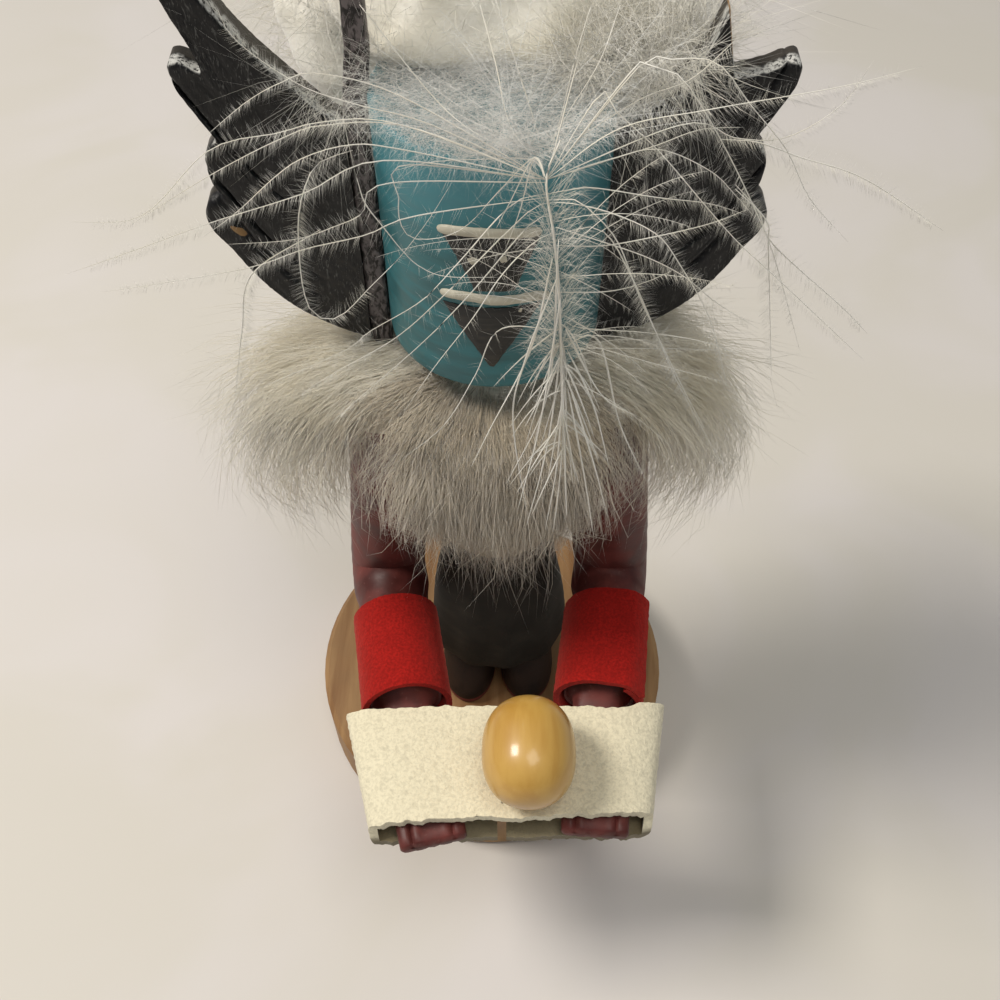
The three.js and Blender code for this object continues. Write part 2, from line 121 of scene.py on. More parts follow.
def turns(count):
    """The angles of count equal steps round a circle."""
    return FULL * np.arange(count) / count


def bulge(value, power):
    """A sine or cosine with its size raised to 2 / power, as in a superellipse."""
    return np.sign(value) * np.abs(value) ** (2 / power)


def spread(points, scale):
    """Points scaled level away from the head's middle line, each by its own factor."""
    level = (points[..., :2] - [HEAD_X, 0]) * scale[..., None] + [HEAD_X, 0]
    return np.concatenate([level, points[..., 2:]], -1)


def shade(tone, red, green=None, blue=None):
    """A colour times one factor, or times one for each channel, and 1 at most."""
    factors = (red, green or red, blue or red)
    return [min(1, channel * factor) for channel, factor in zip(tone, factors)]


# ---- mesh helpers

def put_mesh(name, points, quads, triangles, sharp=None):
    """Make an object of points in millimetres, with its faces turned outwards.

    The faces are turned over together if the volume that they enclose comes out negative.
    Edges that bend by more than sharp degrees are shaded sharp.
    """
    quads = np.asarray(quads, np.int64).reshape(-1, 4)
    triangles = np.asarray(triangles, np.int64).reshape(-1, 3)
    halves = np.vstack([quads[:, [0, 1, 2]], quads[:, [0, 2, 3]], triangles])
    a, b, c = points[halves[:, 0]], points[halves[:, 1]], points[halves[:, 2]]
    if np.einsum("ij,ij->i", a, np.cross(b, c)).sum() < 0:
        quads, triangles = quads[:, ::-1], triangles[:, ::-1]
    mesh = bpy.data.meshes.new(name)
    mesh.vertices.add(len(points))
    mesh.vertices.foreach_set("co", (np.asarray(points) * MM).ravel())
    corners = np.concatenate([quads.ravel(), triangles.ravel()])
    mesh.loops.add(len(corners))
    mesh.loops.foreach_set("vertex_index", corners)
    starts = np.concatenate([
        np.arange(len(quads)) * 4,
        len(quads) * 4 + np.arange(len(triangles)) * 3,
    ])
    mesh.polygons.add(len(starts))
    mesh.polygons.foreach_set("loop_start", starts)
    mesh.polygons.foreach_set("use_smooth", np.full(len(starts), True))
    mesh.update(calc_edges=True)
    if mesh.validate():
        raise RuntimeError(f"{name} has faces that had to be repaired")
    if sharp is not None:
        mesh.set_sharp_from_angle(angle=math.radians(sharp))
    obj = bpy.data.objects.new(name, mesh)
    bpy.context.scene.collection.objects.link(obj)
    return obj


def give_values(obj, name, values):
    """Keep one number for each vertex as an attribute that a material can read."""
    layer = obj.data.attributes.new(name, "FLOAT", "POINT")
    layer.data.foreach_set("value", np.ascontiguousarray(values, np.float32).ravel())


def grid_faces(rows, columns, loop_rows=False, loop_columns=False):
    """Quads over a grid of rows by columns, joined round where a direction is a loop."""
    index = np.arange(rows * columns).reshape(rows, columns)
    if loop_rows:
        index = np.vstack([index, index[:1]])
    if loop_columns:
        index = np.hstack([index, index[:, :1]])
    return np.stack(
        [index[:-1, :-1], index[:-1, 1:], index[1:, 1:], index[1:, :-1]], -1
    ).reshape(-1, 4)


def tube_mesh(name, grid, sharp=None, loop_rows=False):
    """A closed skin over rings of points: grid[i, j] is point j of ring i.

    Both ends are closed by a fan onto the ring's middle, unless the last ring joins the first.
    """
    rows, columns = grid.shape[:2]
    points = grid.reshape(-1, 3)
    quads = grid_faces(rows, columns, loop_rows, True)
    triangles = np.zeros((0, 3), int)
    if not loop_rows:
        points = np.vstack([points, grid[0].mean(0), grid[-1].mean(0)])
        near = np.arange(columns)
        after = np.roll(near, -1)
        low = np.stack([after, near, np.full(columns, rows * columns)], -1)
        far = (rows - 1) * columns
        high = np.stack([near + far, after + far, np.full(columns, rows * columns + 1)], -1)
        triangles = np.vstack([low, high])
    return put_mesh(name, points, quads, triangles, sharp)


def plate_mesh(name, front, back, sharp):
    """A closed plate between two equal grids, with a wall of quads round its rim."""
    rows, columns = front.shape[:2]
    count = rows * columns
    index = np.arange(count).reshape(rows, columns)
    faces = grid_faces(rows, columns)
    rim = np.concatenate([index[0], index[1:, -1], index[-1, -2::-1], index[-2:0:-1, 0]])
    after = np.roll(rim, -1)
    wall = np.stack([after, rim, rim + count, after + count], -1)
    points = np.vstack([front.reshape(-1, 3), back.reshape(-1, 3)])
    quads = np.vstack([faces, faces[:, ::-1] + count, wall])
    return put_mesh(name, points, quads, np.zeros((0, 3), int), sharp)


def strand_parts(paths, widths):
    """Three-sided strands that taper to a point, as points, quads and triangles.

    paths[k, i] is point i of strand k, and widths[k, i] its half width there. Ring i is set
    square to the line's own direction, and the last point of each path is its tip.
    """
    count, length = paths.shape[:2]
    along = unit(np.gradient(paths, axis=1))
    away = np.where(np.abs(along[..., 2:]) < 0.8, [0.0, 0.0, 1.0], [1.0, 0.0, 0.0])
    side = unit(np.cross(along, away))
    up = np.cross(side, along)
    turn = turns(3)[:, None]
    corners = side[:, :-1, None] * np.cos(turn) + up[:, :-1, None] * np.sin(turn)
    rings = paths[:, :-1, None] + corners * widths[:, :-1, None, None]
    per = 3 * (length - 1) + 1
    points = np.concatenate([rings.reshape(count, -1, 3), paths[:, -1:]], 1).reshape(-1, 3)
    ring = grid_faces(length - 1, 3, loop_columns=True)
    last = 3 * (length - 2)
    tip = per - 1
    ends = np.array([
        [2, 1, 0], [last, last + 1, tip], [last + 1, last + 2, tip], [last + 2, last, tip],
    ])
    base = (np.arange(count) * per)[:, None, None]
    return points, (ring + base).reshape(-1, 4), (ends + base).reshape(-1, 3)


def strand_mesh(name, *bunches):
    """One object of several bunches of strands, each a pair of paths and widths."""
    points, quads, triangles, start = [], [], [], 0
    for paths, widths in bunches:
        some, four, three = strand_parts(paths, widths)
        points.append(some)
        quads.append(four + start)
        triangles.append(three + start)
        start += len(some)
    return put_mesh(name, np.vstack(points), np.vstack(quads), np.vstack(triangles))


def finish_piece(obj, material, slot, *nodes):
    """Give a piece its material, ride it on the body and hide what it stands for; slot is not used.
    """
    obj.data.materials.append(material)
    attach(obj, "root")
    if nodes:
        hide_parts(*nodes)
    return obj


# ---- material helper

class Finish:
    """A procedural material on Object coordinates, built node by node."""

    def __init__(self, name, **sockets):
        self.material = bpy.data.materials.new(name)
        self.material.use_nodes = True
        self.nodes = self.material.node_tree.nodes
        self.shader = self.nodes["Principled BSDF"]
        self.fill(self.shader, **sockets)
        self.place = self.nodes.new("ShaderNodeTexCoord").outputs["Object"]

    def give(self, socket, value):
        """Link an output to an input socket, or set the socket's own value."""
        if isinstance(value, bpy.types.NodeSocket):
            self.material.node_tree.links.new(value, socket)
        else:
            socket.default_value = (*value[:3], 1) if socket.type == "RGBA" else value

    def fill(self, node, **sockets):
        """Give values to a node's input sockets by name, with _ for each space."""
        for name, value in sockets.items():
            self.give(node.inputs[name.replace("_", " ")], value)
        return node

    def node(self, kind, **sockets):
        return self.fill(self.nodes.new("ShaderNode" + kind), **sockets)

    def stretched(self, scale, turn=(0, 0, 0)):
        """Coordinates scaled by axis, so that a noise on them is drawn out."""
        return self.node("Mapping", Scale=scale, Rotation=turn, Vector=self.place).outputs[0]

    def noise(self, scale, detail=3, distortion=0, place=None, roughness=0.5):
        return self.node(
            "TexNoise", Scale=scale, Detail=detail, Distortion=distortion,
            Roughness=roughness, Vector=place or self.place).outputs["Fac"]

    def cells(self, scale):
        """Distance to the nearest of random points."""
        return self.node("TexVoronoi", Scale=scale, Vector=self.place).outputs["Distance"]

    def attribute(self, name):
        node = self.node("Attribute")
        node.attribute_name = name
        return node.outputs["Fac"]

    def axis(self, which):
        return self.node("SeparateXYZ", Vector=self.place).outputs[which]

    def stretch(self, value, low, high, to_low=0.0, to_high=1.0):
        """A smooth step of value, from to_low at low to to_high at high."""
        node = self.node("MapRange", From_Min=low, From_Max=high, To_Min=to_low,
                         To_Max=to_high, Value=value)
        node.interpolation_type = "SMOOTHSTEP"
        return node.outputs["Result"]

    def times(self, first, second):
        node = self.node("Math")
        node.operation = "MULTIPLY"
        self.give(node.inputs[0], first)
        self.give(node.inputs[1], second)
        return node.outputs[0]

    def blend(self, share, first, second):
        """The first colour where share is 0, the second where it is 1."""
        node = self.node("Mix")
        node.data_type = "RGBA"
        for socket, value in zip((0, 6, 7), (share, first, second)):
            self.give(node.inputs[socket], value)
        return node.outputs[2]

    def color(self, value):
        self.fill(self.shader, Base_Color=value)
        return self

    def rough(self, value):
        self.fill(self.shader, Roughness=value)
        return self

    def bump(self, height, strength, depth):
        """Add a bump of this depth in millimetres on top of any bump before it."""
        node = self.node("Bump", Strength=strength, Distance=depth * MM, Height=height)
        before = self.shader.inputs["Normal"]
        if before.is_linked:
            self.fill(node, Normal=before.links[0].from_socket)
        self.fill(self.shader, Normal=node.outputs["Normal"])
        return self


# ---- settings

def colour(name, description, default):
    """A colour setting, with its default in linear red, green and blue."""
    return FloatVectorProperty(name=name, description=description, default=default,
                               size=3, min=0, max=1, subtype="COLOR")


class KachinaSettings(PropertyGroup):
    """Sizes and colours of the doll."""
    wood: colour("Wood", "Bare wood of the base", (0.40, 0.235, 0.10))
    dress: colour("Dress", "Black paint of the dress", (0.010, 0.009, 0.007))
    boots: colour("Boots", "Brown paint of the boots", (0.030, 0.016, 0.010))
    mask: colour("Mask", "Turquoise paint of the mask", (0.030, 0.165, 0.190))
    white_paint: colour("White paint", "Thick white paint of the marks", (0.62, 0.58, 0.47))
    wing_paint: colour("Wing paint", "Black paint of the wings and marks", (0.0045, 0.0045, 0.0055))
    # worn also colours the painted highlight along the wings' front rims.
    worn: colour("Worn paint", "Silvery worn edges and flecks", (0.42, 0.42, 0.40))
    maroon: colour("Maroon", "Paint of the arms", (0.13, 0.028, 0.023))
    red_suede: colour("Red suede", "Suede of the cuffs", (0.36, 0.011, 0.008))
    white_suede: colour("White suede", "Suede of the band", (0.88, 0.81, 0.60))
    bead: colour("Bead", "Varnished wood of the bead", (0.62, 0.37, 0.085))
    fur: colour("Fur", "Pale tips of the fur", (0.98, 0.92, 0.77))
    down: colour("Down", "Down and barbs of the plume", (0.98, 0.955, 0.87))
    floor: colour("Floor", "Pale surface under the doll", (0.75, 0.715, 0.65))
    head_radius: FloatProperty(name="Head radius", default=12.7, min=10, max=13,
                               description="Radius of the mask, in millimetres")
    hairs: IntProperty(name="Fur hairs", description="Hairs in each part of the ruff",
                       default=5100, min=100, max=9000)


def settings():
    """The doll's settings in this scene."""
    return bpy.context.scene.kachina


# ---- base and body

class KACHINA_OT_base(Operator):
    """Finish the round base as bare sanded wood."""
    bl_idname = "kachina.base"
    bl_label = "Base"

    def execute(self, context):
        look = Finish("bare_wood", Roughness=0.6)
        grain = look.stretched((260, 26, 60), (0, 0, 0.25))
        streak = look.noise(1.0, 5, 0.6, grain)
        fine = look.noise(5.0, 3, 0.2, grain)
        wood = settings().wood
        deep = shade(wood, 0.62, 0.52, 0.42)
        tone = look.blend(look.stretch(streak, 0.36, 0.66), deep, wood)
        tone = look.blend(look.stretch(fine, 0.35, 0.8, 0, 0.35), tone, deep)
        soil = look.stretch(look.noise(90, 4), 0.5, 0.75, 0, 0.45)
        look.color(look.blend(soil, tone, shade(wood, 0.6)))
        look.rough(look.stretch(streak, 0.3, 0.7, 0.48, 0.68))
        look.bump(streak, 0.35, 0.12).bump(fine, 0.25, 0.05)
        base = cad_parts["base"]
        base.data.materials.clear()
        base.data.materials.append(look.material)
        return {"FINISHED"}


BODY_X = 1.1
BELT = (58.2, 64.2)  # heights of its lower and upper edge
DRESS = (  # height, half width, half depth and y of each level
    (24.2, 10.6, 8.0, 0), (24.7, 11.5, 8.9, 0), (30, 11.6, 9.0, 0), (39, 10.8, 8.7, 0),
    (50, 9.1, 7.9, 0), (57, 8.4, 7.6, 0), (72, 8.1, 7.5, 0), (86, 7.1, 7.1, 0),
    (93, 6.2, 6.2, 0), (101.9, 6.1, 6.1, 0),
)
BOOT = (
    (12.3, 4.3, 7.0, -2.2), (12.7, 4.7, 7.4, -2.2), (15, 4.8, 7.4, -2.2),
    (18, 4.6, 6.6, -1.6), (21, 4.4, 5.5, -0.8), (24, 4.3, 4.7, -0.1), (27.5, 4.3, 4.5, 0.2),
)
SOLE_TOP = 13.6


def body_rings(levels, x, count, rings):
    """Level ovals of count points each, from a smooth line through the levels."""
    levels = np.array(levels)
    line = path_through(levels[:, [1, 2, 0]], rings)
    lean = np.interp(line[:, 2], levels[:, 0], levels[:, 3])
    turn = turns(count)
    grid = np.empty((rings, count, 3))
    grid[..., 0] = x + line[:, 0:1] * np.cos(turn)
    grid[..., 1] = lean[:, None] + line[:, 1:2] * np.sin(turn)
    grid[..., 2] = line[:, 2:3]
    return grid


class KACHINA_OT_body(Operator):
    """Build the long dress with its belt, and the two boots under it."""
    bl_idname = "kachina.body"
    bl_label = "Dress and boots"

    def execute(self, context):
        grid = body_rings(DRESS, BODY_X, 72, 110)
        out = unit((grid - [BODY_X, 0, 0]) * [1, 1, 0])
        height = grid[..., 2]
        turn = np.arctan2(grid[..., 1], grid[..., 0] - BODY_X)
        belt = (soft_step(height, BELT[0], BELT[0] + 0.7)
                * soft_step(-height, -BELT[1], 0.7 - BELT[1]))
        pleats = 0.28 * np.cos(9 * turn) * soft_step(-height, -56, -30)
        grid += out * (0.35 * belt + pleats + 0.06 * lumps(grid, 3, 4))[..., None]
        dress = tube_mesh("dress", grid, 35)

        look = Finish("dress_paint", Roughness=0.62, Specular_IOR_Level=0.2)
        paint = settings().dress
        patch = look.stretch(look.noise(160, 4), 0.4, 0.7)
        tone = look.blend(patch, paint, shade(paint, 2.1))
        height = look.axis("Z")
        belt = look.times(look.stretch(height, BELT[0] * MM, (BELT[0] + 0.6) * MM),
                          look.stretch(height, BELT[1] * MM, (BELT[1] - 0.6) * MM))
        look.color(look.blend(belt, tone, shade(settings().white_suede, 0.42)))
        look.bump(look.noise(900, 3), 0.3, 0.08)
        finish_piece(dress, look.material, "painted_body", "body")

        look = Finish("boot_paint", Roughness=0.6, Specular_IOR_Level=0.25)
        pale = settings().boots
        worn = look.stretch(look.noise(260, 4), 0.45, 0.7)
        tone = look.blend(worn, pale, shade(pale, 0.55))
        sole = look.stretch(look.axis("Z"), SOLE_TOP * MM, (SOLE_TOP + 0.4) * MM)
        look.color(look.blend(sole, shade(settings().maroon, 1.4), tone))
        look.bump(look.noise(800, 3), 0.3, 0.06)
        for x, name in ((BODY_X - 5.3, "boot_left"), (BODY_X + 5.3, "boot_right")):
            boot = tube_mesh(name, body_rings(BOOT, x, 48, 60), 40)
            finish_piece(boot, look.material, "painted_body")
        return {"FINISHED"}


# ---- the mask

def on_mask(across, height, proud):
    """Points on the mask: across is the length round it from the middle of the face."""
    radius = settings().head_radius
    turn = across / radius
    return np.stack([
        HEAD_X + (radius + proud) * np.sin(turn), -(radius + proud) * np.cos(turn), height,
    ], -1)


def mask_patch(name, left, right, low, high, seed):
    """A coat of paint on the mask from height low to height high.

    left and right give its sides as functions of the height's share from 0 to 1. The coat
    thins towards its rim as the square root of the distance from it.
    """
    across, rise = np.meshgrid(np.linspace(0, 1, 60), np.linspace(0, 1, 26))
    z = low + (high - low) * rise
    s = left(rise) + (right(rise) - left(rise)) * across
    flat = np.stack([s, z, np.zeros_like(s)], -1)
    s = s + 0.06 * lumps(flat, 1.1, seed)
    z = z + 0.06 * lumps(flat + 7, 1.1, seed)
    rim = np.minimum(np.minimum(across, 1 - across) * 8, np.minimum(rise, 1 - rise) * 5)
    coat = 0.16 * np.clip(rim, 0, 1) ** 0.5
    coat = coat * (1 + 0.25 * np.sin(9 * z + 2 * lumps(flat, 1.6, seed + 5)))
    return plate_mesh(name, on_mask(s, z, 0.08 + coat), on_mask(s, z, -0.25), 60)


BARS = (  # name, half width, thickness, seed, then points as length across and height
    ("mark_line_top", 0.58, 0.42, 11, (-5.9, 125.1), (-2.9, 125.5), (0, 125.5), (2.8, 125.3),
     (5.1, 125.0)),
    ("mark_line_low", 0.62, 0.45, 12, (-5.95, 116.5), (-2.5, 116.7), (0, 116.4), (2.3, 116.4),
     (4.5, 116.3), (6.4, 115.7)),
    ("mark_dot_left", 0.62, 0.35, 13, (-2.5, 121.75), (-2.05, 122.0), (-1.6, 121.95)),
    ("mark_dot_right", 0.55, 0.35, 14, (0.65, 122.1), (1.05, 122.25), (1.4, 122.3)),
    ("mark_drip", 0.34, 0.25, 15, (2.75, 114.85), (2.9, 114.75), (3.05, 114.7)),
)


def bar_mesh(name, half, thick, seed, *line):
    """A thick bead of paint along a line on the mask, with round ends.

    Its section is an oval, flatter under the mask's surface. Along the bar it shrinks as the
    square root of 1 less the fourteenth power of the distance from the bar's middle.
    """
    steps = 60
    middle = path_through(np.column_stack([line, np.zeros(len(line))]), steps)
    share = np.linspace(0, 1, steps)
    end = np.sqrt(np.clip(1 - (np.abs(share - 0.5) * 2) ** 14, 0.02, 1))
    wide = half * end * (1 + 0.10 * lumps(middle, 1.5, seed))
    turn = turns(14)
    along = unit(np.gradient(middle, axis=0))
    side = np.stack([-along[:, 1], along[:, 0]], -1)
    across = middle[:, None, :2] + side[:, None] * (wide[:, None] * np.cos(turn))[..., None]
    proud = thick * end[:, None] * np.sin(turn)
    proud = np.where(proud < 0, proud * 0.5, proud)
    grid = on_mask(across[..., 0], across[..., 1], proud)
    return tube_mesh(name, grid, 60)


class KACHINA_OT_mask(Operator):
    """Build the turquoise mask and the thick painted marks on its face."""
    bl_idname = "kachina.mask"
    bl_label = "Mask"

    def execute(self, context):
        low, high = (z / MM for z in (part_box("head")[0][2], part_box("head")[1][2]))
        radius = settings().head_radius
        edge = 0.55  # radius of the rounded rims
        caps = (0.4, 3, 6, 9)  # radii of the rings on the flat top and bottom
        turn = np.linspace(0, math.pi / 2, 7)
        profile = np.concatenate([
            [[r, low] for r in caps],
            np.stack([radius - edge + edge * np.sin(turn), low + edge - edge * np.cos(turn)], -1),
            np.stack([np.full(68, radius), np.linspace(low + edge, high - edge, 70)[1:-1]], -1),
            np.stack([radius - edge + edge * np.cos(turn), high - edge + edge * np.sin(turn)], -1),
            [[r, high] for r in reversed(caps)],
        ])
        around = turns(150)
        grid = np.stack([
            profile[:, :1] * np.cos(around), profile[:, :1] * np.sin(around),
            profile[:, 1:] + 0 * around,
        ], -1)
        brushed = lumps(grid * [1, 1, 4], 4, 3) * 0.035
        out = unit(grid * [1, 1, 0])
        grid = grid + out * (brushed * soft_step(profile[:, :1], 6, 12))[..., None]
        grid[..., 0] += HEAD_X
        mask = tube_mesh("mask", grid, 35)

        look = Finish("turquoise_paint", Roughness=0.38, Specular_IOR_Level=0.45)
        tone = settings().mask
        strokes = look.noise(1, 5, 0.4, look.stretched((90, 90, 620)))
        broad = look.noise(110, 3)
        body = look.blend(look.stretch(strokes, 0.3, 0.72), shade(tone, 0.72), shade(tone, 1.22))
        body = look.blend(look.stretch(broad, 0.4, 0.7, 0, 0.5), body,
                          shade(tone, 1.5, 1.12, 1.10))
        # Painted light: the mask is lightened towards its top, standing in for the pale haze that
        # the down over the crown lays on it.
        top = look.stretch(look.axis("Z"), 0.120, 0.133)
        body = look.blend(look.times(top, 0.9), body, shade(tone, 2.6, 1.9, 2.0))
        look.color(body)
        look.rough(look.stretch(strokes, 0.3, 0.7, 0.30, 0.5))
        look.bump(strokes, 0.5, 0.06).bump(look.noise(1500, 2), 0.15, 0.03)
        finish_piece(mask, look.material, "turquoise_paint", "head")

        black = Finish("mask_black", Roughness=0.42)
        rows = black.noise(1, 4, 0.5, black.stretched((120, 120, 1500)))
        dark = settings().wing_paint
        tone = black.blend(black.stretch(rows, 0.5, 0.85), dark, (0.04, 0.037, 0.03))
        black.color(tone).bump(rows, 0.7, 0.10)
        upper = mask_patch(
            "mark_upper", lambda r: -2.05 - 3.35 * r ** 1.25, lambda r: 2.35 + 2.75 * r ** 1.15,
            117.7, 124.9, 2)
        lower = mask_patch(
            "mark_lower", lambda r: -0.45 - 5.2 * r ** 1.06, lambda r: 0.05 + 5.25 * r ** 1.06,
            106.2, 115.3, 3)
        for patch in (upper, lower):
            finish_piece(patch, black.material, "black_paint")

        white = Finish("mask_white", Roughness=0.5)
        tone = settings().white_paint
        grime = white.stretch(white.noise(520, 4), 0.42, 0.75, 0, 0.6)
        white.color(white.blend(grime, tone, shade(tone, 0.62)))
        white.bump(white.noise(1500, 3), 0.35, 0.08)
        for bar in BARS:
            finish_piece(bar_mesh(*bar), white.material, "turquoise_paint")
        return {"FINISHED"}


# ---- wings and stick

def coons(inner, outer, bottom, top, rows, columns):
    """A sheet of points between four lines.

    It is the sum of the two ruled sheets between opposite lines, less the sheet ruled between
    the four corners. Row i runs along the feathers from inner to outer.
    """
    inner, outer = path_through(inner, rows)[:, None], path_through(outer, rows)[:, None]
    bottom, top = path_through(bottom, columns)[None], path_through(top, columns)[None]
    t = np.linspace(0, 1, rows)[:, None, None]
    s = np.linspace(0, 1, columns)[None, :, None]
    ruled = (1 - s) * inner + s * outer + (1 - t) * bottom + t * top
    corners = ((1 - s) * ((1 - t) * inner[:1] + t * inner[-1:])
               + s * ((1 - t) * outer[:1] + t * outer[-1:]))
    return ruled - corners


# Border lines of the right wing, as points in x and z. The inner line stands at the wing's root.
WING_FOOT, WING_HEAD = 99.4, 130.2
WING_BOTTOM = [[18.9, 101.6], [22.1, 103.9], [24.8, 106.6], [27.2, 110.1], [28.9, 113.4],
               [30.6, 116.2]]
WING_OUTER = [[30.6, 116.2], [31.2, 118.2], [30.4, 120.3], [28.5, 121.4], [29.6, 123.2],
              [29.6, 126.2], [28.1, 128.6], [29.6, 131.8], [31.0, 134.9], [31.0, 136.8],
              [30.0, 137.3], [28.0, 136.3]]
WING_TIPS = {  # the rest of the outer line, the top line, and the heights of the grooves
    "whole": ([[28.6, 139.3], [29.7, 142.3], [31.0, 146.4], [31.6, 149.6], [30.4, 150.9]],
              [[16.8, 132.0], [19.6, 135.0], [23.0, 138.9], [26.0, 143.5], [30.4, 150.9]],
              (0.125, 0.245, 0.52)),
    "broken": ([[26.2, 135.8], [24.8, 135.6], [24.2, 137.4], [23.7, 139.6], [23.0, 142.7]],
               [[16.6, 132.0], [18.7, 134.2], [20.7, 136.9], [22.0, 139.6], [23.0, 142.7]],
               (0.155, 0.30, 0.665)),
}
WING_THICK = 3.4


def wing_lines(root, tip):
    """The four border lines of a wing whose inner edge stands at x = root."""
    outer, top, _ = WING_TIPS[tip]
    inner = [[root, z] for z in (WING_FOOT, 108, 119, WING_HEAD)]
    lines = (inner, WING_OUTER + outer, inner[:1] + WING_BOTTOM, inner[-1:] + top)
    return [np.insert(np.array(line, float), 1, 0, axis=1) for line in lines]


def wing_mesh(root, tip, side):
    """A carved wing: a board with feathers cut apart by grooves on both faces.

    The board is a sheet of points spanned by its border lines. Each face stands off that sheet
    by half the thickness, less the grooves, less a rounding at the rim, less fine barb ridges.
    Attribute worn is high along the front's rim, where a pale line is partly worn paint and partly
    a painted highlight of light caught on the rim; bare marks chipped spots, and top rises over
    the upper rim from 0 on the front to 1 on the back, whose paint is thinner.
    """
    rows, columns = 176, 66
    sheet = coons(*wing_lines(root, tip), rows, columns)
    t, s = np.meshgrid(np.linspace(0, 1, rows), np.linspace(0, 1, columns), indexing="ij")
    cuts = np.minimum.reduce([
        np.abs(t - (g - 0.02 * (1 - s) * i)) for i, g in enumerate(WING_TIPS[tip][2])])
    groove = np.exp(-(cuts / 0.009) ** 2) * soft_step(s, 0.15, 0.6)
    barbs = np.sin(FULL * (t * 21 - s * 34 + 0.35 * lumps(sheet, 2.4, 6)))
    rough = lumps(sheet, 1.3, 8, 3)
    rise = np.cumsum(np.linalg.norm(np.diff(sheet, axis=0, append=sheet[-1:]), axis=-1), 0)
    near = np.minimum(np.minimum(rise, rise[-1:] - rise), (1 - s) * 16)
    round_off = 0.45
    inward = 1 - np.clip(near / round_off, 0, 1)
    rim = round_off * (1 - np.sqrt(np.clip(1 - inward ** 2, 0, 1)))
    front, back = sheet.copy(), sheet.copy()
    front[..., 1] -= WING_THICK / 2 - (0.50 * groove + rim + 0.03 * barbs + 0.08 * rough)
    back[..., 1] += WING_THICK / 2 - 0.45 * groove - rim - 0.03 * barbs - 0.07 * rough
    for face in (front, back):
        face[..., 0] *= side
    obj = plate_mesh(f"wing_{tip}", front, back, 50)
    # worn: the pale rim line, partly worn paint and partly a painted highlight of the rim.
    worn = np.clip(np.exp(-near / 0.26) * soft_step(t, 0.26, 0.34) * (1.0 + 0.5 * rough), 0, 1)
    along, across = sheet[..., 0] - 27.9, sheet[..., 2] - 116.4
    nick = np.hypot((along + across) / 1.7, (along - across) / 0.55)
    bare = np.exp(-nick ** 4) * (side < 0)
    if tip == "broken":
        bare = np.maximum(bare, soft_step(t, 0.83, 0.9) * soft_step(s, 0.97, 1.0))
    above = soft_step(t, 0.975, 1.0)
    give_values(obj, "worn", np.stack([worn, 0 * worn]))
    give_values(obj, "bare", np.stack([bare, bare]))
    give_values(obj, "top", np.stack([0.3 * above, 0 * above + 1]))
    return obj


def wing_finish():
    """Black paint brushed over wood, with silvery scratches, a bare nick and pale rims that are
    partly worn paint and partly painted highlight.
    """
    look = Finish("wing_paint", Roughness=0.4, Specular_IOR_Level=0.32)
    paint, worn = settings().wing_paint, settings().worn
    slant = look.stretched((3800, 3800, 1000), (0, -0.75, 0))
    flecks = look.noise(1.0, 4, 0.6, slant, 0.6)
    cloudy = look.noise(210, 3)
    tone = look.blend(look.stretch(cloudy, 0.35, 0.7), paint, shade(paint, 1.8))
    amount = look.times(look.stretch(flecks, 0.56, 0.66),
                        look.stretch(cloudy, 0.35, 0.6, 0.2, 0.75))
    tone = look.blend(amount, tone, shade(worn, 0.34))
    top = look.stretch(look.attribute("top"), 0.3, 0.6, 0, 0.8)
    tone = look.blend(top, tone, (0.062, 0.054, 0.044))
    # Painted highlight: the pale line along the front rim stands partly for worn paint and partly
    # for light caught on the rounded rim.
    edge = look.times(look.stretch(look.attribute("worn"), 0.45, 0.75),
                      look.stretch(flecks, 0.40, 0.52, 0.05, 1))
    tone = look.blend(edge, tone, shade(worn, 1.4))
    bare = look.stretch(look.attribute("bare"), 0.4, 0.6)
    look.color(look.blend(bare, tone, shade(settings().wood, 0.8)))
    look.rough(look.stretch(flecks, 0.3, 0.7, 0.30, 0.5))
    look.bump(flecks, 0.8, 0.10).bump(look.noise(700, 3), 0.4, 0.12)
    return look.material


def stick_finish():
    """Thin purplish grey paint, mottled with small dark and pale specks."""
    look = Finish("stick_paint", Roughness=0.55, Specular_IOR_Level=0.35)
    specks = look.noise(1.0, 3, 0.4, look.stretched((1900, 1900, 900)), 0.6)
    tone = look.blend(look.stretch(specks, 0.40, 0.60), (0.020, 0.017, 0.017), (0.17, 0.145, 0.145))
    look.color(tone).bump(specks, 0.7, 0.10)
    return look.material


def stick_mesh():
    """The upright stick: squarish rings along a slightly bent line, rounded at both ends."""
    middle = path_through([
        [-13.25, 0, 97.8], [-13.25, 0, 100], [-13.25, 0, 118], [-13.2, 0, 130],
        [-12.9, 0, 134.5], [-12.5, 0, 138], [-12.45, 0, 144], [-12.6, 0, 151.8],
    ], 150)
    rise = middle[:, 2:] - 97.7
    ends = np.sqrt(np.clip(1 - (1 - np.clip(rise / 1.2, 0, 1)) ** 2, 0.03, 1))
    half_x = np.interp(middle[:, 2:], [97, 128, 133, 140, 152], [1.3, 1.3, 1.35, 1.15, 1.0])
    turn = turns(32)
    grid = middle[:, None] + np.stack([
        half_x * ends * bulge(np.cos(turn), 5), 1.4 * ends * bulge(np.sin(turn), 5),
        0 * rise * turn,
    ], -1)
    grid += 0.06 * lumps(grid * [1, 1, 0.4], 0.9, 21)[..., None] * [1, 1, 0]
    return tube_mesh("stick", grid, 50)


class KACHINA_OT_wings(Operator):
    """Build the two carved wings and the upright stick beside the mask."""
    bl_idname = "kachina.wings"
    bl_label = "Wings and stick"

    def execute(self, context):
        paint = wing_finish()
        finish_piece(wing_mesh(14.5, "whole", -1), paint, "black_paint", "wing_left")
        finish_piece(wing_mesh(13.4, "broken", 1), paint, "black_paint", "wing_right")
        finish_piece(stick_mesh(), stick_finish(), "black_paint", "side_stick")
        return {"FINISHED"}


# ---- arms, cuffs, band and bead

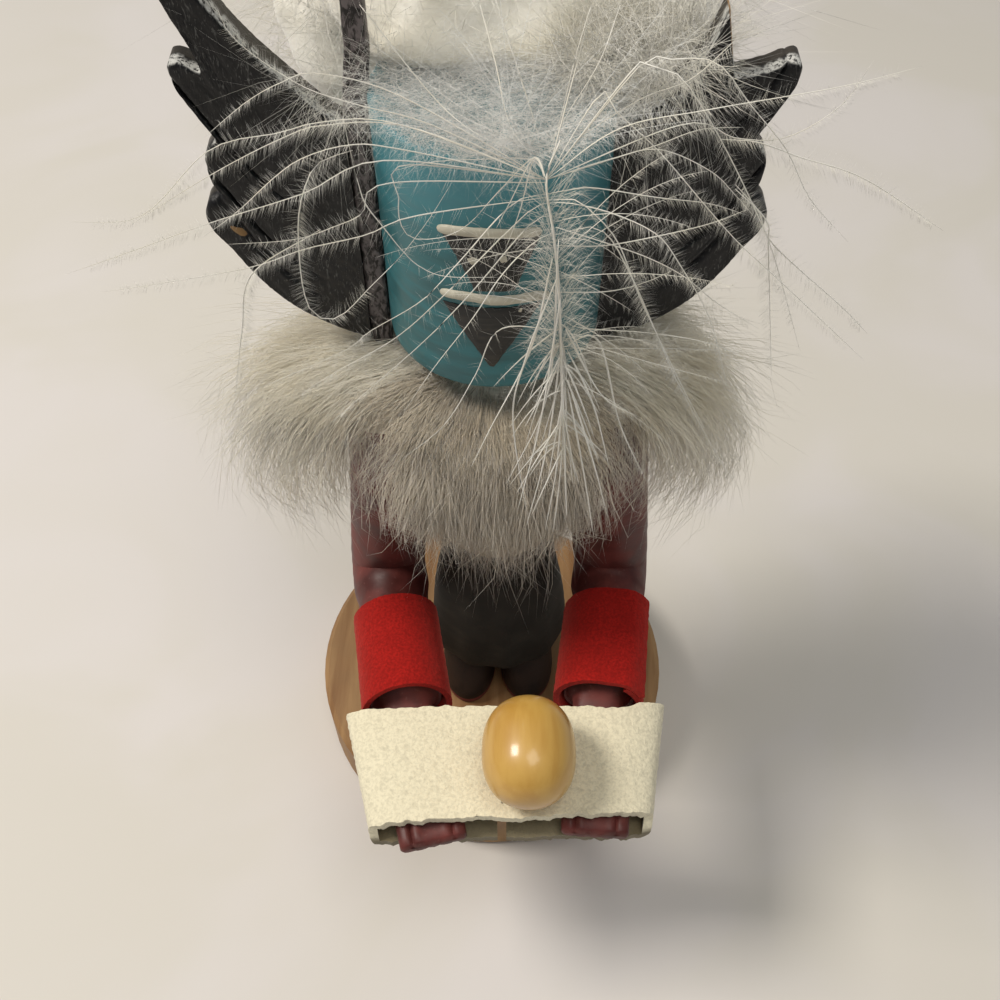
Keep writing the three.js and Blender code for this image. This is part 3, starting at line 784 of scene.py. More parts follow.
ARMS = {
    "left": {"x": -12.9, "elbow": -17.1, "wrist": (-12.1, -28.8), "tip": (-7.6, -47.9),
             "cuff": 11.8, "lap": -2.35, "turn": -1},
    "right": {"x": 15.5, "elbow": 19.9, "wrist": (16.0, -27.9), "tip": (14.7, -46.6),
              "cuff": 10.9, "lap": -0.95, "turn": 1},
}
SHOULDER_Z, ELBOW_YZ, HAND_Z = 86.0, (1.0, 45.0), 47.3
ARM, FOREARM = 6.05, 6.0  # half widths
HAND_HALF = 1.7  # half the hand's thickness


def arm_points(arm):
    """Shoulder, elbow, wrist and fingertip of an arm, and its forearm's direction."""
    shoulder = np.array([arm["x"], 0, SHOULDER_Z])
    elbow = np.array([arm["elbow"], *ELBOW_YZ])
    wrist = np.array([*arm["wrist"], HAND_Z - 0.2])
    tip = np.array([*arm["tip"], HAND_Z])
    return shoulder, elbow, wrist, tip, unit(wrist - elbow)


def arm_mesh(side):
    """An arm as a rounded section carried along its bent line.

    The section is round along the arm and a flat superellipse at the hand, where four grooves
    in both its faces, each a bell curve across the hand, part the fingers.
    """
    arm = ARMS[side]
    shoulder, elbow, wrist, tip, ahead = arm_points(arm)
    down = unit(elbow - shoulder)
    hand = tip - wrist
    stations = [  # centre, half width, half thickness, power of the section
        (shoulder - down * 3.5, 1.2, 1.2, 2), (shoulder - down * 3.0, 3.4, 3.4, 2),
        (shoulder - down * 1.6, 5.2, 5.2, 2), (shoulder + down * 0.8, ARM, ARM, 2),
        (shoulder + (elbow - shoulder) * 0.5, ARM, ARM, 2), (elbow - down * 5.4, ARM, ARM, 2),
        (elbow - down * 2.6 + ahead * 0.3, FOREARM, FOREARM, 2),
        (elbow - down * 0.6 + ahead * 1.0, FOREARM, FOREARM, 2),
        (elbow + ahead * 3.2, FOREARM, FOREARM, 2), (elbow + ahead * 6.5, FOREARM, FOREARM, 2),
        (elbow + ahead * (arm["cuff"] - 1.2), 5.5, 5.5, 2),
        (wrist - ahead * 4.3, 5.45, 5.45, 2), (wrist - ahead * 3.1, 4.9, 4.7, 2),
        (wrist - ahead * 2.0, 3.9, 3.4, 2), (wrist, 3.75, 1.95, 2.4),
        (wrist + hand * 0.22, 4.5, HAND_HALF, 3), (wrist + hand * 0.55, 4.8, HAND_HALF, 3.4),
        (wrist + hand * 0.93, 4.75, 1.62, 3.4), (wrist + hand * 0.985, 4.6, 1.35, 3.2),
        (tip, 4.3, 0.8, 3),
    ]
    line = path_through([[*centre, *section] for centre, *section in stations], 140)
    centre, wide, high, power = line[:, :3], line[:, 3:4], line[:, 4:5], line[:, 5:6]
    along = unit(np.gradient(centre, axis=0))
    across = unit(np.array([1.0, 0, 0]) - along * along[:, :1])
    up = np.cross(across, along)
    a = wide * bulge(np.cos(turns(72)), power)
    b = high * bulge(np.sin(turns(72)), power)
    reach = np.clip(((centre - wrist) @ unit(hand)) / np.linalg.norm(hand), 0, 1)[:, None]
    wiggle = 0.002 * np.sin(reach * 9)
    hand_width, groove_width = 9.6, 0.27
    grooves = sum(
        np.exp(-((a / hand_width - (i / 5 - 0.5) + wiggle) * hand_width / groove_width) ** 2)
        for i in (1, 2, 3, 4))
    depth = 0.5 * grooves * soft_step(reach, 0.42, 0.55)
    b = b - np.sign(b) * depth * (np.abs(b) > 0.4)
    grid = centre[:, None] + across[:, None] * a[..., None] + up[:, None] * b[..., None]
    carved = (lumps(grid, 5.0, 31) * 0.05 + lumps(grid, 1.4, 33) * 0.02)[..., None]
    on_arm = soft_step(1 - reach, 0.2, 0.9)[..., None]
    grid += unit(grid - centre[:, None]) * carved * on_arm
    return tube_mesh(f"carved_arm_{side}", grid, 50)


CUFF_LENGTH, CUFF_RADIUS, CUFF_WALL = 17.0, 5.78, 0.85
CUFF_LAP = 0.42  # the angle by which the strip's end lies over its start


def cuff_mesh(side):
    """A cuff rolled from a strip of suede, with its end lapped over its start, and its flat size.

    Its radius grows by a little over one thickness where the end lies on the start, and the
    two faces of the strip stand half a thickness either side of that roll.
    """
    arm = ARMS[side]
    _, elbow, _, _, ahead = arm_points(arm)
    turn = np.linspace(0, FULL + CUFF_LAP, 130)[:, None]
    share = np.linspace(0, 1, 26)[None]
    over = soft_step(turn, FULL - 0.55, FULL + 0.05)
    across = unit(np.array([1.0, 0, 0]) - ahead * ahead[0])
    up = np.cross(across, ahead)
    where = (arm["lap"] + turn) * arm["turn"]
    skew = 0.5 * np.sin(turn + 1.0) * (share - 0.5)
    reach = arm["cuff"] + 0.1 + (CUFF_LENGTH - 0.2) * share + skew
    rough = lumps(np.stack([turn * 6.3 + 0 * reach, reach, 0 * reach], -1), 1.0, 41, 3)
    faces = []
    for stand in (0.5, -0.5):
        radius = (CUFF_RADIUS + 0.5 * CUFF_WALL + over * CUFF_WALL * 1.12 + 0.15 * share
                  + stand * CUFF_WALL)
        radius = radius + 0.1 * rough * (stand > 0)
        faces.append(elbow + ahead * reach[..., None]
                     + across * (radius * np.cos(where))[..., None]
                     + up * (radius * np.sin(where))[..., None])
    piece = plate_mesh(f"suede_cuff_{side}", *faces, 60)
    return piece, (CUFF_LENGTH * MM, (CUFF_RADIUS + 0.5) * (FULL + CUFF_LAP) * MM)


BAND_LEFT, BAND_RIGHT, BAND_BACK, BAND_FRONT = -21.2, 26.0, -28.9, -45.4
BAND_WALL, BAND_WIDTH = 1.5, 16.8
BAND_CLEAR = HAND_HALF + 0.8  # from the hands' middle height to the band's inner side


def band_mesh():
    """The folded band: a strip over the hands, round each end and back under, and its flat size.

    Its middle line is a flat superellipse that droops at its ends, its width runs from the back
    edge to the front edge, and rough nap and ragged cut edges are noise on both.
    """
    high = HAND_Z + BAND_CLEAR + BAND_WALL / 2
    low = HAND_Z - BAND_CLEAR - BAND_WALL / 2
    middle_x, middle_z = (BAND_LEFT + BAND_RIGHT) / 2, (high + low) / 2
    half_x, half_z = (BAND_RIGHT - BAND_LEFT - BAND_WALL) / 2, (high - low) / 2
    rows, columns = 220, 40
    first = -math.pi / 2
    turn = np.linspace(first, first + FULL - 0.03, rows)[:, None]
    share = np.linspace(0, 1, columns)[None]
    x = half_x * bulge(np.cos(turn), 2.6)
    z = half_z * bulge(np.sin(turn), 8) - 1.3 * np.abs(x / half_x) ** 6
    line = np.concatenate([x, z], 1)
    gap = np.linalg.norm(np.diff(line, axis=0), axis=1)
    run = np.concatenate([[0], np.cumsum(gap)])
    even = np.linspace(0, run[-1], rows)
    line = np.stack([np.interp(even, run, line[:, i]) for i in (0, 1)], -1)
    along = unit(np.gradient(line, axis=0))
    out = np.stack([along[:, 1], -along[:, 0]], -1)
    x, z = line[:, :1], line[:, 1:]
    lower = soft_step(-z, -0.5, 2.0)
    to_right = soft_step(x, 0, half_x)
    deep = BAND_BACK - BAND_FRONT
    flat = np.stack([even[:, None] + 0 * share, deep * share + 0 * even[:, None],
                     np.zeros((rows, columns))], -1)
    ragged = lumps(flat, 2.2, 51, 3)
    back = BAND_BACK + 0.22 * ragged[:, :1]
    front = BAND_FRONT - lower * (0.5 + 0.8 * to_right) + 0.30 * ragged[:, -1:]
    y = back + (front - back) * share
    narrow = 1 - np.where(x < 0, 4.2, 2.8) / half_x * (BAND_BACK - y) / deep
    wave = 0.22 * lumps(flat, 16, 53) * soft_step(z, -1, 1)
    nap = 0.10 * lumps(flat, 1.1, 55, 3) + 0.06 * lumps(flat, 0.45, 56, 2)
    faces = []
    for stand in (1, -1):
        push = stand * BAND_WALL / 2 + wave + np.where(stand > 0, nap, 0)
        px = middle_x + (x + out[:, :1] * push) * narrow
        pz = middle_z + z + out[:, 1:] * push
        skew = (1.4 * soft_step(px, 18.5, 24.5) * (1 - 0.4 * share)
                + share * (0.9 * soft_step(px, 2, 20) - 0.5 * soft_step(-px, 2, 16)))
        faces.append(np.stack([px, y + skew, pz], -1))
    return plate_mesh("suede_band", *faces, 60), (BAND_WIDTH * MM, run[-1] * MM)


class KACHINA_OT_arms(Operator):
    """Build the arms with their hands, and the red suede cuffs on them."""
    bl_idname = "kachina.arms"
    bl_label = "Arms and cuffs"

    def execute(self, context):
        look = Finish("maroon_paint", Roughness=0.5, Specular_IOR_Level=0.4)
        paint = settings().maroon
        cloud = look.noise(190, 4)
        tone = look.blend(look.stretch(cloud, 0.35, 0.68), shade(paint, 0.6), shade(paint, 1.35))
        scuff = look.stretch(look.noise(1500, 3), 0.60, 0.78, 0, 0.35)
        tone = look.blend(scuff, tone, (0.26, 0.12, 0.10))
        look.color(tone).rough(look.stretch(cloud, 0.3, 0.7, 0.42, 0.62))
        look.bump(look.noise(700, 4), 0.35, 0.10)

        suede = Finish("red_suede", Roughness=0.92, Sheen_Weight=0.35, Sheen_Roughness=0.5,
                       Sheen_Tint=(1.0, 0.25, 0.2, 1), Specular_IOR_Level=0.15)
        red = settings().red_suede
        nap = suede.noise(2600, 4, 0.3)
        patch = suede.noise(260, 3)
        tone = suede.blend(suede.stretch(nap, 0.3, 0.72), shade(red, 0.72), shade(red, 1.2))
        tone = suede.blend(suede.stretch(patch, 0.4, 0.7, 0, 0.35), tone, shade(red, 0.75))
        suede.color(tone).bump(nap, 0.5, 0.06).bump(patch, 0.25, 0.12)
        for side in ("left", "right"):
            finish_piece(arm_mesh(side), look.material, "maroon_paint", f"arm_{side}")
            cuff, flat = cuff_mesh(side)
            finish_piece(cuff, suede.material, "red_suede", f"cuff_{side}")
        return {"FINISHED"}


class KACHINA_OT_band(Operator):
    """Build the white suede band folded round the hands."""
    bl_idname = "kachina.band"
    bl_label = "Suede band"

    def execute(self, context):
        band, flat = band_mesh()
        look = Finish("white_suede", Roughness=0.95, Sheen_Weight=0.25, Sheen_Roughness=0.6,
                      Specular_IOR_Level=0.1)
        pale = settings().white_suede
        nap = look.noise(2300, 5, 0.5)
        pits = look.noise(1100, 3)
        tone = look.blend(look.stretch(nap, 0.32, 0.62), shade(pale, 0.84), pale)
        tone = look.blend(look.stretch(pits, 0.30, 0.45, 0.45, 0), tone, shade(pale, 0.66))
        specks = look.stretch(look.cells(330), 0.055, 0.085, 0.75, 0)
        tone = look.blend(look.times(specks, look.stretch(look.noise(130), 0.56, 0.6)),
                          tone, (0.16, 0.12, 0.07))
        # Painted shade: the lower layer under the hands is coloured dark olive brown for the shade
        # beneath the band.
        under = look.stretch(look.axis("Z"), 0.0462, 0.0444)
        look.color(look.blend(under, tone, (0.18, 0.145, 0.08)))
        look.bump(nap, 0.9, 0.14).bump(pits, 0.6, 0.2)
        finish_piece(band, look.material, "white_suede", "hand_band")
        return {"FINISHED"}


class KACHINA_OT_bead(Operator):
    """Build the varnished wooden bead that lies on the band."""
    bl_idname = "kachina.bead"
    bl_label = "Bead"

    def execute(self, context):
        low, high = (np.array(corner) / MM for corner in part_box("bead"))
        centre, half = (low + high) / 2, (high - low) / 2
        turn = np.linspace(0.02, math.pi - 0.02, 60)[:, None]
        around = turns(80)
        full = (1 - np.abs(np.cos(turn)) ** 2.45) ** (1 / 2.2)
        grid = np.stack([
            centre[0] + 6.4 * full * np.cos(around),
            centre[1] - half[1] * 0.97 * np.cos(turn) + 0 * around,
            centre[2] + 6.3 * full * np.sin(around),
        ], -1)
        bead = tube_mesh("polished_bead", grid)

        look = Finish("varnished_wood", Roughness=0.42, Coat_Weight=0.6, Coat_Roughness=0.16,
                      Specular_IOR_Level=0.5)
        wood = settings().bead
        grain = look.noise(1, 4, 0.3, look.stretched((420, 60, 420)))
        cloud = look.noise(120, 2)
        tone = look.blend(look.stretch(grain, 0.35, 0.7), shade(wood, 0.86, 0.78, 0.62), wood)
        tone = look.blend(look.stretch(cloud, 0.4, 0.7, 0, 0.4), tone, shade(wood, 1.15))
        look.color(tone).bump(look.noise(500, 2), 0.06, 0.05)
        finish_piece(bead, look.material, "polished_bead", "bead")
        return {"FINISHED"}


# ---- fur

RUFF_LINE = path_through([  # half width, half depth and height, from the neck to the hem
    [9.0, 8.6, 101.0], [12.0, 11.0, 98.6], [17.0, 13.4, 97.6], [22.5, 15.8, 96.0],
    [27.3, 18.0, 92.6], [30.6, 19.6, 87.0], [31.4, 19.8, 81.0], [29.8, 18.2, 75.6],
    [27.0, 15.4, 72.6],
], 120)
ARM_TURNS, ARM_SPREAD = (-2.28, -0.84), 0.25  # where the arms lie under the ruff
COAT_END = 0.66  # the coat's share of the ruff's section
HAIR_TAPER = np.array([[0.9, 1.0, 0.85, 0.6, 0.0]])


def ruff_point(turn, share):
    """The point of the ruff's outer side at an angle and at a share of its section's line.

    At each height the ruff is an oval whose half sizes the line gives.
    """
    last = len(RUFF_LINE) - 1
    at = np.clip(share, 0, 1) * last
    low = np.clip(at.astype(int), 0, last - 1)
    rest = (at - low)[..., None]
    half = RUFF_LINE[low] * (1 - rest) + RUFF_LINE[low + 1] * rest
    return np.stack([
        HEAD_X + half[..., 0] * np.cos(turn), half[..., 1] * np.sin(turn), half[..., 2],
    ], -1)


def near_turn(turn, middle, width):
    """A bell curve of the angle between two directions, 1 where they are the same."""
    apart = (turn - middle + math.pi) % FULL - math.pi
    return np.exp(-(apart / width) ** 2)


def over_arms(turn):
    """1 in front of either arm, and 0 between and beside them."""
    return sum(near_turn(turn, middle, ARM_SPREAD) for middle in ARM_TURNS)


def beside(turn):
    """1 at the doll's two sides, and 0 in front of it and behind it."""
    return near_turn(turn, 0, 0.75) + near_turn(turn, math.pi, 0.75)


def hairs_on_ruff(rng, count, first, last):
    """Hairs of the ruff between two directions round it.

    A hair follows the ruff's outer side from one share of its section to another, scaled level
    by level towards a layer of its own, so the layers fill the ruff. At the sides hairs
    lift and sweep forwards, and a few of them stand high. Over the arms they are few and
    short. Each tip is drawn towards its tuft and strays a little, and a few stray far.
    """
    turn = rng.uniform(first, last, count * 2)
    turn = turn[rng.random(count * 2) > 0.80 * over_arms(turn)][:count]
    count = len(turn)
    front = near_turn(turn, -math.pi / 2, 0.9)
    arms, sides = over_arms(turn), beside(turn)
    start = rng.uniform(0.02, 0.42, count) + 0.22 * front * (1 - arms) * rng.random(count)
    end = start + rng.uniform(0.30, 0.70, count) * (1 - 0.55 * arms * (rng.random(count) > 0.15))
    end += 0.44 * front * (1 - arms) * rng.random(count)
    layer = 0.64 + 0.44 * np.sqrt(rng.random(count)) - 0.10 * front - 0.1 * arms
    wander = rng.normal(0, 0.12, count) * (1 - 0.5 * arms)
    wander -= 0.30 * np.cos(turn) * sides * (1 - arms) * (np.sin(turn) < 0.5)
    lift = sides * rng.uniform(-5, 7, count) * (end < 0.8)
    high = (rng.random(count) < 0.13) & (np.sin(turn) > -0.35)
    lift = np.where(high, sides * rng.uniform(5, 15, count), lift)

    u = np.linspace(0, 1, HAIR_TAPER.size)[None]
    share = start[:, None] + (end - start)[:, None] * u
    scale = 0.92 + (layer[:, None] - 0.92) * np.minimum(1, u * 1.4) + 0.10 * sides[:, None] * u ** 2
    scale += (0.08 * near_turn(turn, math.pi, 0.8) + 0.12 * high)[:, None] * u ** 2
    paths = spread(ruff_point(turn[:, None] + wander[:, None] * u, share), scale)
    hang = np.maximum(share - 1, 0) * 26
    paths[..., 2] += lift[:, None] * u ** 2 - hang - 1.2 * (1.08 - layer[:, None])

    tuft = drift(paths[:, -1], 5, 61)
    paths += 1.7 * drift(paths, 8, 64) * u[..., None]
    stray = 1.1 * np.where(rng.random(count) < 0.07, 2.6, 1.0)[:, None]
    paths += (2.3 * tuft + rng.normal(0, 1, (count, 3)) * stray)[:, None] * (u ** 1.7)[..., None]
    bend = rng.normal(0, 0.8, (count, 3))[:, None]
    phase = rng.random((count, 1))
    paths += bend * np.sin(FULL * (u * 0.8 + phase))[..., None] * u[..., None]
    return paths, rng.uniform(0.020, 0.046, (count, 1)) * HAIR_TAPER


DEEPER = (0.90, 0.88, 0.82)  # factors from the tips' colour to the deeper one


def soft_finish(name, tone, deep, scale):
    """Soft pale hair: colour drifts between two tones at two scales, and sheen lights it."""
    look = Finish(name, Roughness=0.9, Sheen_Weight=1.0, Sheen_Roughness=0.6,
                  Specular_IOR_Level=0.2)
    cloud = look.noise(scale, 3, 0.3)
    fine = look.noise(scale * 9, 2)
    body = look.blend(look.stretch(cloud, 0.35, 0.65), deep, tone)
    look.color(look.blend(look.stretch(fine, 0.45, 0.75, 0, 0.35), body, deep))
    return look


class KACHINA_OT_ruff(Operator):
    """Build the fur ruff: a soft coat with three parts of hair on it."""
    bl_idname = "kachina.ruff"
    bl_label = "Fur ruff"

    def execute(self, context):
        turn = turns(140)[None]
        share = np.linspace(0, COAT_END, 36)[:, None]
        outer = ruff_point(turn + 0 * share, share + 0 * turn)
        size = (0.84 + 0.12 * beside(turn) - 0.38 * over_arms(turn)
                - 0.14 * near_turn(turn, -math.pi / 2, 0.45))
        size = 0.90 + (size - 0.90) * soft_step(share, 0.02, 0.35)
        outer = spread(outer, size * (1 - 0.30 * soft_step(share, 0.40, COAT_END)))
        outer += 0.55 * lumps(outer, 3.4, 71, 3)[..., None] * unit(outer - [HEAD_X, 0, 84])
        inner = spread(outer, 0.92 - 0.04 * share)
        inner[..., 2] -= 2.6 - 1.4 * share
        coat = tube_mesh("ruff_coat", np.concatenate([outer, inner[::-1]]), loop_rows=True)

        tone = settings().fur
        under = soft_finish("fur_coat", tone, shade(tone, 0.86), 160)
        under.bump(under.noise(1, 4, 0.4, under.stretched((1200, 1200, 220))), 0.7, 0.4)
        finish_piece(coat, under.material, "white_fur", "fur_ruff")
        hair = soft_finish("fur_hair", tone, shade(tone, *DEEPER), 120)
        # Painted shade: the front hairs get a darker copy of the fur's colour for the shade on the
        # ruff's front.
        front = soft_finish("fur_front_painted_shade", shade(tone, 0.76, 0.70, 0.62),
                            shade(tone, 0.54, 0.47, 0.38), 120)
        rng = np.random.default_rng(81)
        for name, first, last, look in (
            ("front", -2.5, -0.64, front), ("left", -4.9, -2.4, hair), ("right", -0.74, 1.75, hair),
        ):
            bunch = hairs_on_ruff(rng, settings().hairs, first, last)
            finish_piece(strand_mesh(f"ruff_hair_{name}", bunch), look.material, "white_fur")
        return {"FINISHED"}


# ---- plume

def barbules(rng, paths, spacing, long, on_face=1.0):
    """Fine hairs along the barbs, in rows on both sides, more of them on the lower side.

    Each leaves its barb at a slant between the barb's own direction and a direction square to
    it, and gets shorter towards the barb's tip. Over the mask only a share on_face is kept.
    """
    total = np.linalg.norm(np.diff(paths, axis=1), axis=-1).sum(1)
    per = np.maximum((total / spacing).astype(int), 2)
    owner = np.repeat(np.arange(len(paths)), per)
    count = len(owner)
    share = rng.uniform(0.03, 0.93, count)
    at = share * (paths.shape[1] - 1)
    low = np.clip(at.astype(int), 0, paths.shape[1] - 2)
    rest = (at - low)[:, None]
    first, second = paths[owner, low], paths[owner, low + 1]
    start = first * (1 - rest) + second * rest
    along = unit(second - first)
    side = unit(np.cross(along, [0.0, -0.6, 0.8]))
    side *= -np.sign(side[:, 2:]) * np.where(rng.random((count, 1)) < 0.7, 1, -1)
    aim = unit(along * 0.55 + side + rng.normal(0, 0.12, (count, 3)))
    size = long * rng.uniform(0.7, 1.2, (count, 1)) * (1.05 - 0.7 * share[:, None] ** 2)
    kept = (np.abs(start[:, 0] - HEAD_X) > 12.5) | (rng.random(count) < on_face)
    hairs = np.stack([start, start + aim * size], 1)[kept]
    return hairs, np.repeat([[0.0105, 0]], len(hairs), 0)


def barb_paths(starts, middles, ends, steps):
    """Barbs as curves (1-u)^2 a + 2u(1-u) b + u^2 c through rows of points a, b and c."""
    u = np.linspace(0, 1, steps)[None, :, None]
    a, b, c = (np.asarray(p, float)[:, None] for p in (starts, middles, ends))
    return (1 - u) ** 2 * a + 2 * u * (1 - u) * b + u ** 2 * c


def tapered(paths, most):
    """Barbs with half widths that rise quickly from a thin root, then fall as a square root."""
    u = np.linspace(0, 1, paths.shape[1])
    return paths, most * np.minimum(0.35 + 4 * u, 1) * np.sqrt(1.02 - u) + np.zeros((len(paths), 1))


SHAFT = [[9.8, -9, 144.8], [9.5, -12, 141.8], [6.9, -15, 138.1], [5.7, -17, 135.3],
         [6.5, -19, 130.5], [7.2, -20, 124.4], [8.1, -22, 111.0], [9.4, -24, 92]]
BARBS = (  # y at the root, y at the tip, then x and z of each point on the way
    # over the left wing and cheek
    (-17, -14, -9, 137.4, -16.7, 133.2, -26.4, 129.1, -34, 125.4, -43.3, 121.1),
    (-18, -15, -6.5, 132, -11.2, 129.3, -17.5, 127, -23.5, 124.1, -35, 121.1, -40, 119.7),
    (-17, -13, -8.9, 134.9, -11.5, 130.7, -14.5, 128.3, -19, 125.8, -26.4, 124.3),
    (-15, -10, -7.3, 139.7, -14.1, 139.3, -18.7, 137.4, -25.7, 134.8, -34.6, 126.2, -43.3, 124.7),
    (-15, -9, -6.4, 139.4, -14.1, 138.6, -18.5, 136.2, -26.7, 130.8, -38, 122.6),
    (-17, -14, -7.3, 138.6, -11.8, 138.6, -16.2, 136.8, -19.4, 134.1, -23.6, 129.8, -28.2, 125.8),
    (-19, -17, -11.1, 137, -10.7, 134, -9.4, 131.1, -7.7, 127.7, -6.2, 125.5, -3.8, 124,
      1.5, 123.6),
    (-15, -18, -11.8, 137, -14.9, 135.9, -16.4, 133.7, -17.6, 130.1, -18.2, 125.6, -18.4, 121.4,
      -18, 118.5, -16.5, 117.4, -14.5, 118.5, -11.5, 122.3, -8.7, 125.8, -7.1, 128.2, -4.9, 131.8,
      -2.6, 136.2),
    (-17, -17, -7.1, 136.9, -7.8, 133.2, -7.9, 130.6, -7.2, 128.8, -5.8, 128.4, -3.6, 128.8, -1.4,
      130.3, 1.2, 133.8),
    (-20, -16, 2.6, 135, -2.4, 127.5, -6.3, 121.8, -12, 116.7, -15.4, 112.8, -26.7, 105.5),
    (-20, -18, 3.8, 133.9, -3.7, 123.9, -9.3, 117.1, -16.6, 111.1, -22.4, 105.6),
    (-20, -19, 4.2, 132.7, -1.5, 123.8, -6.6, 116.8, -14.1, 107.9, -17.7, 103.3),
    (-21, -20, 4.3, 131.2, 1.5, 127, -1.2, 121.4, -5.5, 113.8, -9.3, 106.2),
    (-13, -8, -7.3, 141.2, -14.6, 142.6, -17.9, 141, -21.9, 138.1, -27.1, 133.3),
    (-14, -12, -16.1, 127.1, -24.1, 120.6, -26.9, 111.7, -30.5, 98.1),
    (-20, -22, 1.5, 119.4, -1.1, 113.3, -4.6, 106.1, -9.6, 100.8),
    (-13, -6, -4.8, 138.3, -11.3, 139.1, -16.7, 140, -22.2, 143.4, -23.7, 145.7),
    # over the right wing
    (-15, -12, 12, 139.2, 20, 140.5, 31.3, 142.1, 38.5, 143.5),
    (-15, -13, 10.8, 135.7, 15.6, 137, 19.5, 138.2, 23.7, 138),
    (-14, -12, 17.9, 139, 22.9, 137.2, 27.6, 136.9, 31.9, 139.8, 33.9, 144.1),
    (-15, -13, 11.5, 136, 15.9, 136.7, 21, 134, 24, 130.8, 26.6, 127.6),
    (-14, -17, 10.2, 142, 11.9, 140.4, 15.9, 136.8, 21.4, 130.5, 24.8, 126.9, 28.7, 123.4,
      40.9, 111.5),
    (-12, -16, 13.7, 143.9, 15.3, 143.6, 17.3, 143, 20.3, 139.1, 23.2, 134.6, 25.9, 130, 28.5,
      125.1, 34, 111.8),
    (-12, -14, 13.7, 143.5, 15.7, 144.2, 19.1, 144.5, 21, 143.6, 23.7, 140.4, 27.8, 135.9, 31.1,
      130.6, 36.3, 125.2),
    (-19, -19, 7.8, 134.3, 11.8, 133.1, 16, 130.7, 18.6, 127.1, 22.7, 119.6, 26.4, 108.7),
    (-20, -16, 6.6, 132.4, 11, 130, 15.5, 127.4, 19.6, 124.2, 23.6, 119.9, 29, 115.3),
    (-19, -16, 6.6, 129.4, 11.2, 128.7, 16.3, 129.2, 21.3, 130.1, 25.2, 131.4),
    (-20, -18, 6.9, 124.4, 12, 123.9, 15.5, 124.4, 18.4, 125.5),
    (-19, -20, 8.2, 134.7, 9.4, 133.9, 12.4, 130.2, 15.6, 122.3, 22, 108.5, 25.5, 101.9),
    (-17, -14, 7.9, 134.2, 10.2, 133.8, 16.4, 132.1, 21.4, 130.8, 25.7, 128.7),
    (-13, -12, 21.6, 136.7, 25.2, 136.2, 29.5, 134.4, 36.4, 131.7, 46.2, 125.1),
    (-16, -15, 23.2, 133.5, 26.9, 129.5, 28, 125.1, 32, 106.8),
    (-15, -14, 23.4, 133.2, 26.2, 129.9, 28.5, 125.6, 37.3, 117.1, 41.5, 112.6),
    (-20, -20, 7.8, 121.4, 13, 117.2, 17, 112.9),
    (-20, -19, 8, 120.5, 9.8, 119.3, 17.1, 118.3, 23.1, 116.6, 27.6, 113.9),
    (-19, -20, 10.7, 131.3, 14.3, 125.4, 20.5, 110.9, 27.1, 97.9, 30.5, 92),
    # the narrow fan below
    (-20, -23, 6.9, 131, 6.5, 111.2, 2.1, 97),
    (-21, -24, 7.3, 124.4, 5.8, 107.5, 3.5, 93.2),
    (-21, -24, 7.7, 117.5, 6.7, 103.5, 4.6, 89.9),
    (-22, -24, 8, 114.1, 7.9, 101.3, 6.9, 89),
    (-22, -24, 8.5, 109.4, 8.3, 97, 7.9, 89),
    (-21, -22, 8, 120.4, 12.2, 111.2, 16.5, 108.1),
    (-21, -23, 8.3, 117.5, 11.4, 110.1, 13.8, 100.6),
    (-22, -24, 8.5, 114.1, 12, 101.3, 14.2, 92.4),
    (-22, -24, 8.6, 112.6, 11.2, 98.3, 12.7, 89),
    (-20, -22, 11.4, 117.9, 14.7, 105.7, 18.6, 96.4),
    (-21, -22, 6.8, 127, 4.1, 116.4, 2.9, 107.4, 4.7, 90.4),
    (-20, -23, 6.4, 128.6, 4.6, 117.5, 0.4, 106.1, -1.9, 100.2),
    # over the crown
    (-4, -15, -0.3, 144.5, 1.1, 141, 2.3, 137.4, 4.3, 136.4),
    (-3, -14, 1.1, 144.4, 4.6, 136, 5.2, 136.3),
    (-8, -15, -10.7, 146.8, -5, 139.9, -1.2, 137.5, 4.3, 136),
    (-8, -16, 9.4, 146.3, 8.1, 143.3, 6.9, 139, 5.6, 136.2),
    (-15, -19, 4.6, 136.2, 2.5, 133, 1.1, 131.3),
    (-15, -18, 4.6, 136.2, 1.5, 133.8, -0.5, 132.2),
    (-15, -18, 4.6, 136, 3.4, 131.6, 2, 128),
    (-8, -15, 22.5, 143.5, 18.6, 141.1, 13.9, 140.6, 6.9, 137.1),
    (-4, -13, 12.4, 144.5, 10.7, 140.9, 8, 137.8, 5.7, 135.6),
    (-13, -14, 4.4, 134.5, -0.3, 134.8, -5, 134.7, -8.7, 133.9),
)


def feather_barbs(steps):
    """The barbs as smooth lines through their points, with y going evenly from root to tip.

    A barb whose first point lies 2 to 15 mm off the shaft is led there from the shaft.
    """
    shaft = path_through(SHAFT, 200)[46:]
    lines = []
    for first, last, *flat in BARBS:
        knots = np.array(flat).reshape(-1, 2)
        knots = np.column_stack([knots[:, 0], np.linspace(first, last, len(knots)), knots[:, 1]])
        gaps = np.linalg.norm(shaft - knots[0], axis=1)
        if 2 < gaps.min() < 15:
            knots = np.vstack([shaft[gaps.argmin()], knots])
        lines.append(path_through(knots, steps))
    return np.array(lines)


def random_barbs(rng, count, first, last, low, high, least, most, steps):
    """More barbs: each leaves the shaft, bows upwards and ends at a random angle and reach."""
    shaft = path_through(SHAFT, 200)
    at = rng.integers(first, last, count)
    side = np.sign(rng.random(count) - 0.5)
    angle, reach = rng.uniform(low, high, count), rng.uniform(least, most, count)
    ends = shaft[at] + np.stack([side * np.cos(angle) * reach, rng.uniform(-2, 6, count),
                                 np.sin(angle) * reach * 0.75], -1)
    bows = (shaft[at] + ends) / 2 + np.stack([0 * reach, rng.uniform(-2, 0, count),
                                              rng.uniform(1, 5, count)], -1)
    return barb_paths(shaft[at], bows, ends, steps)


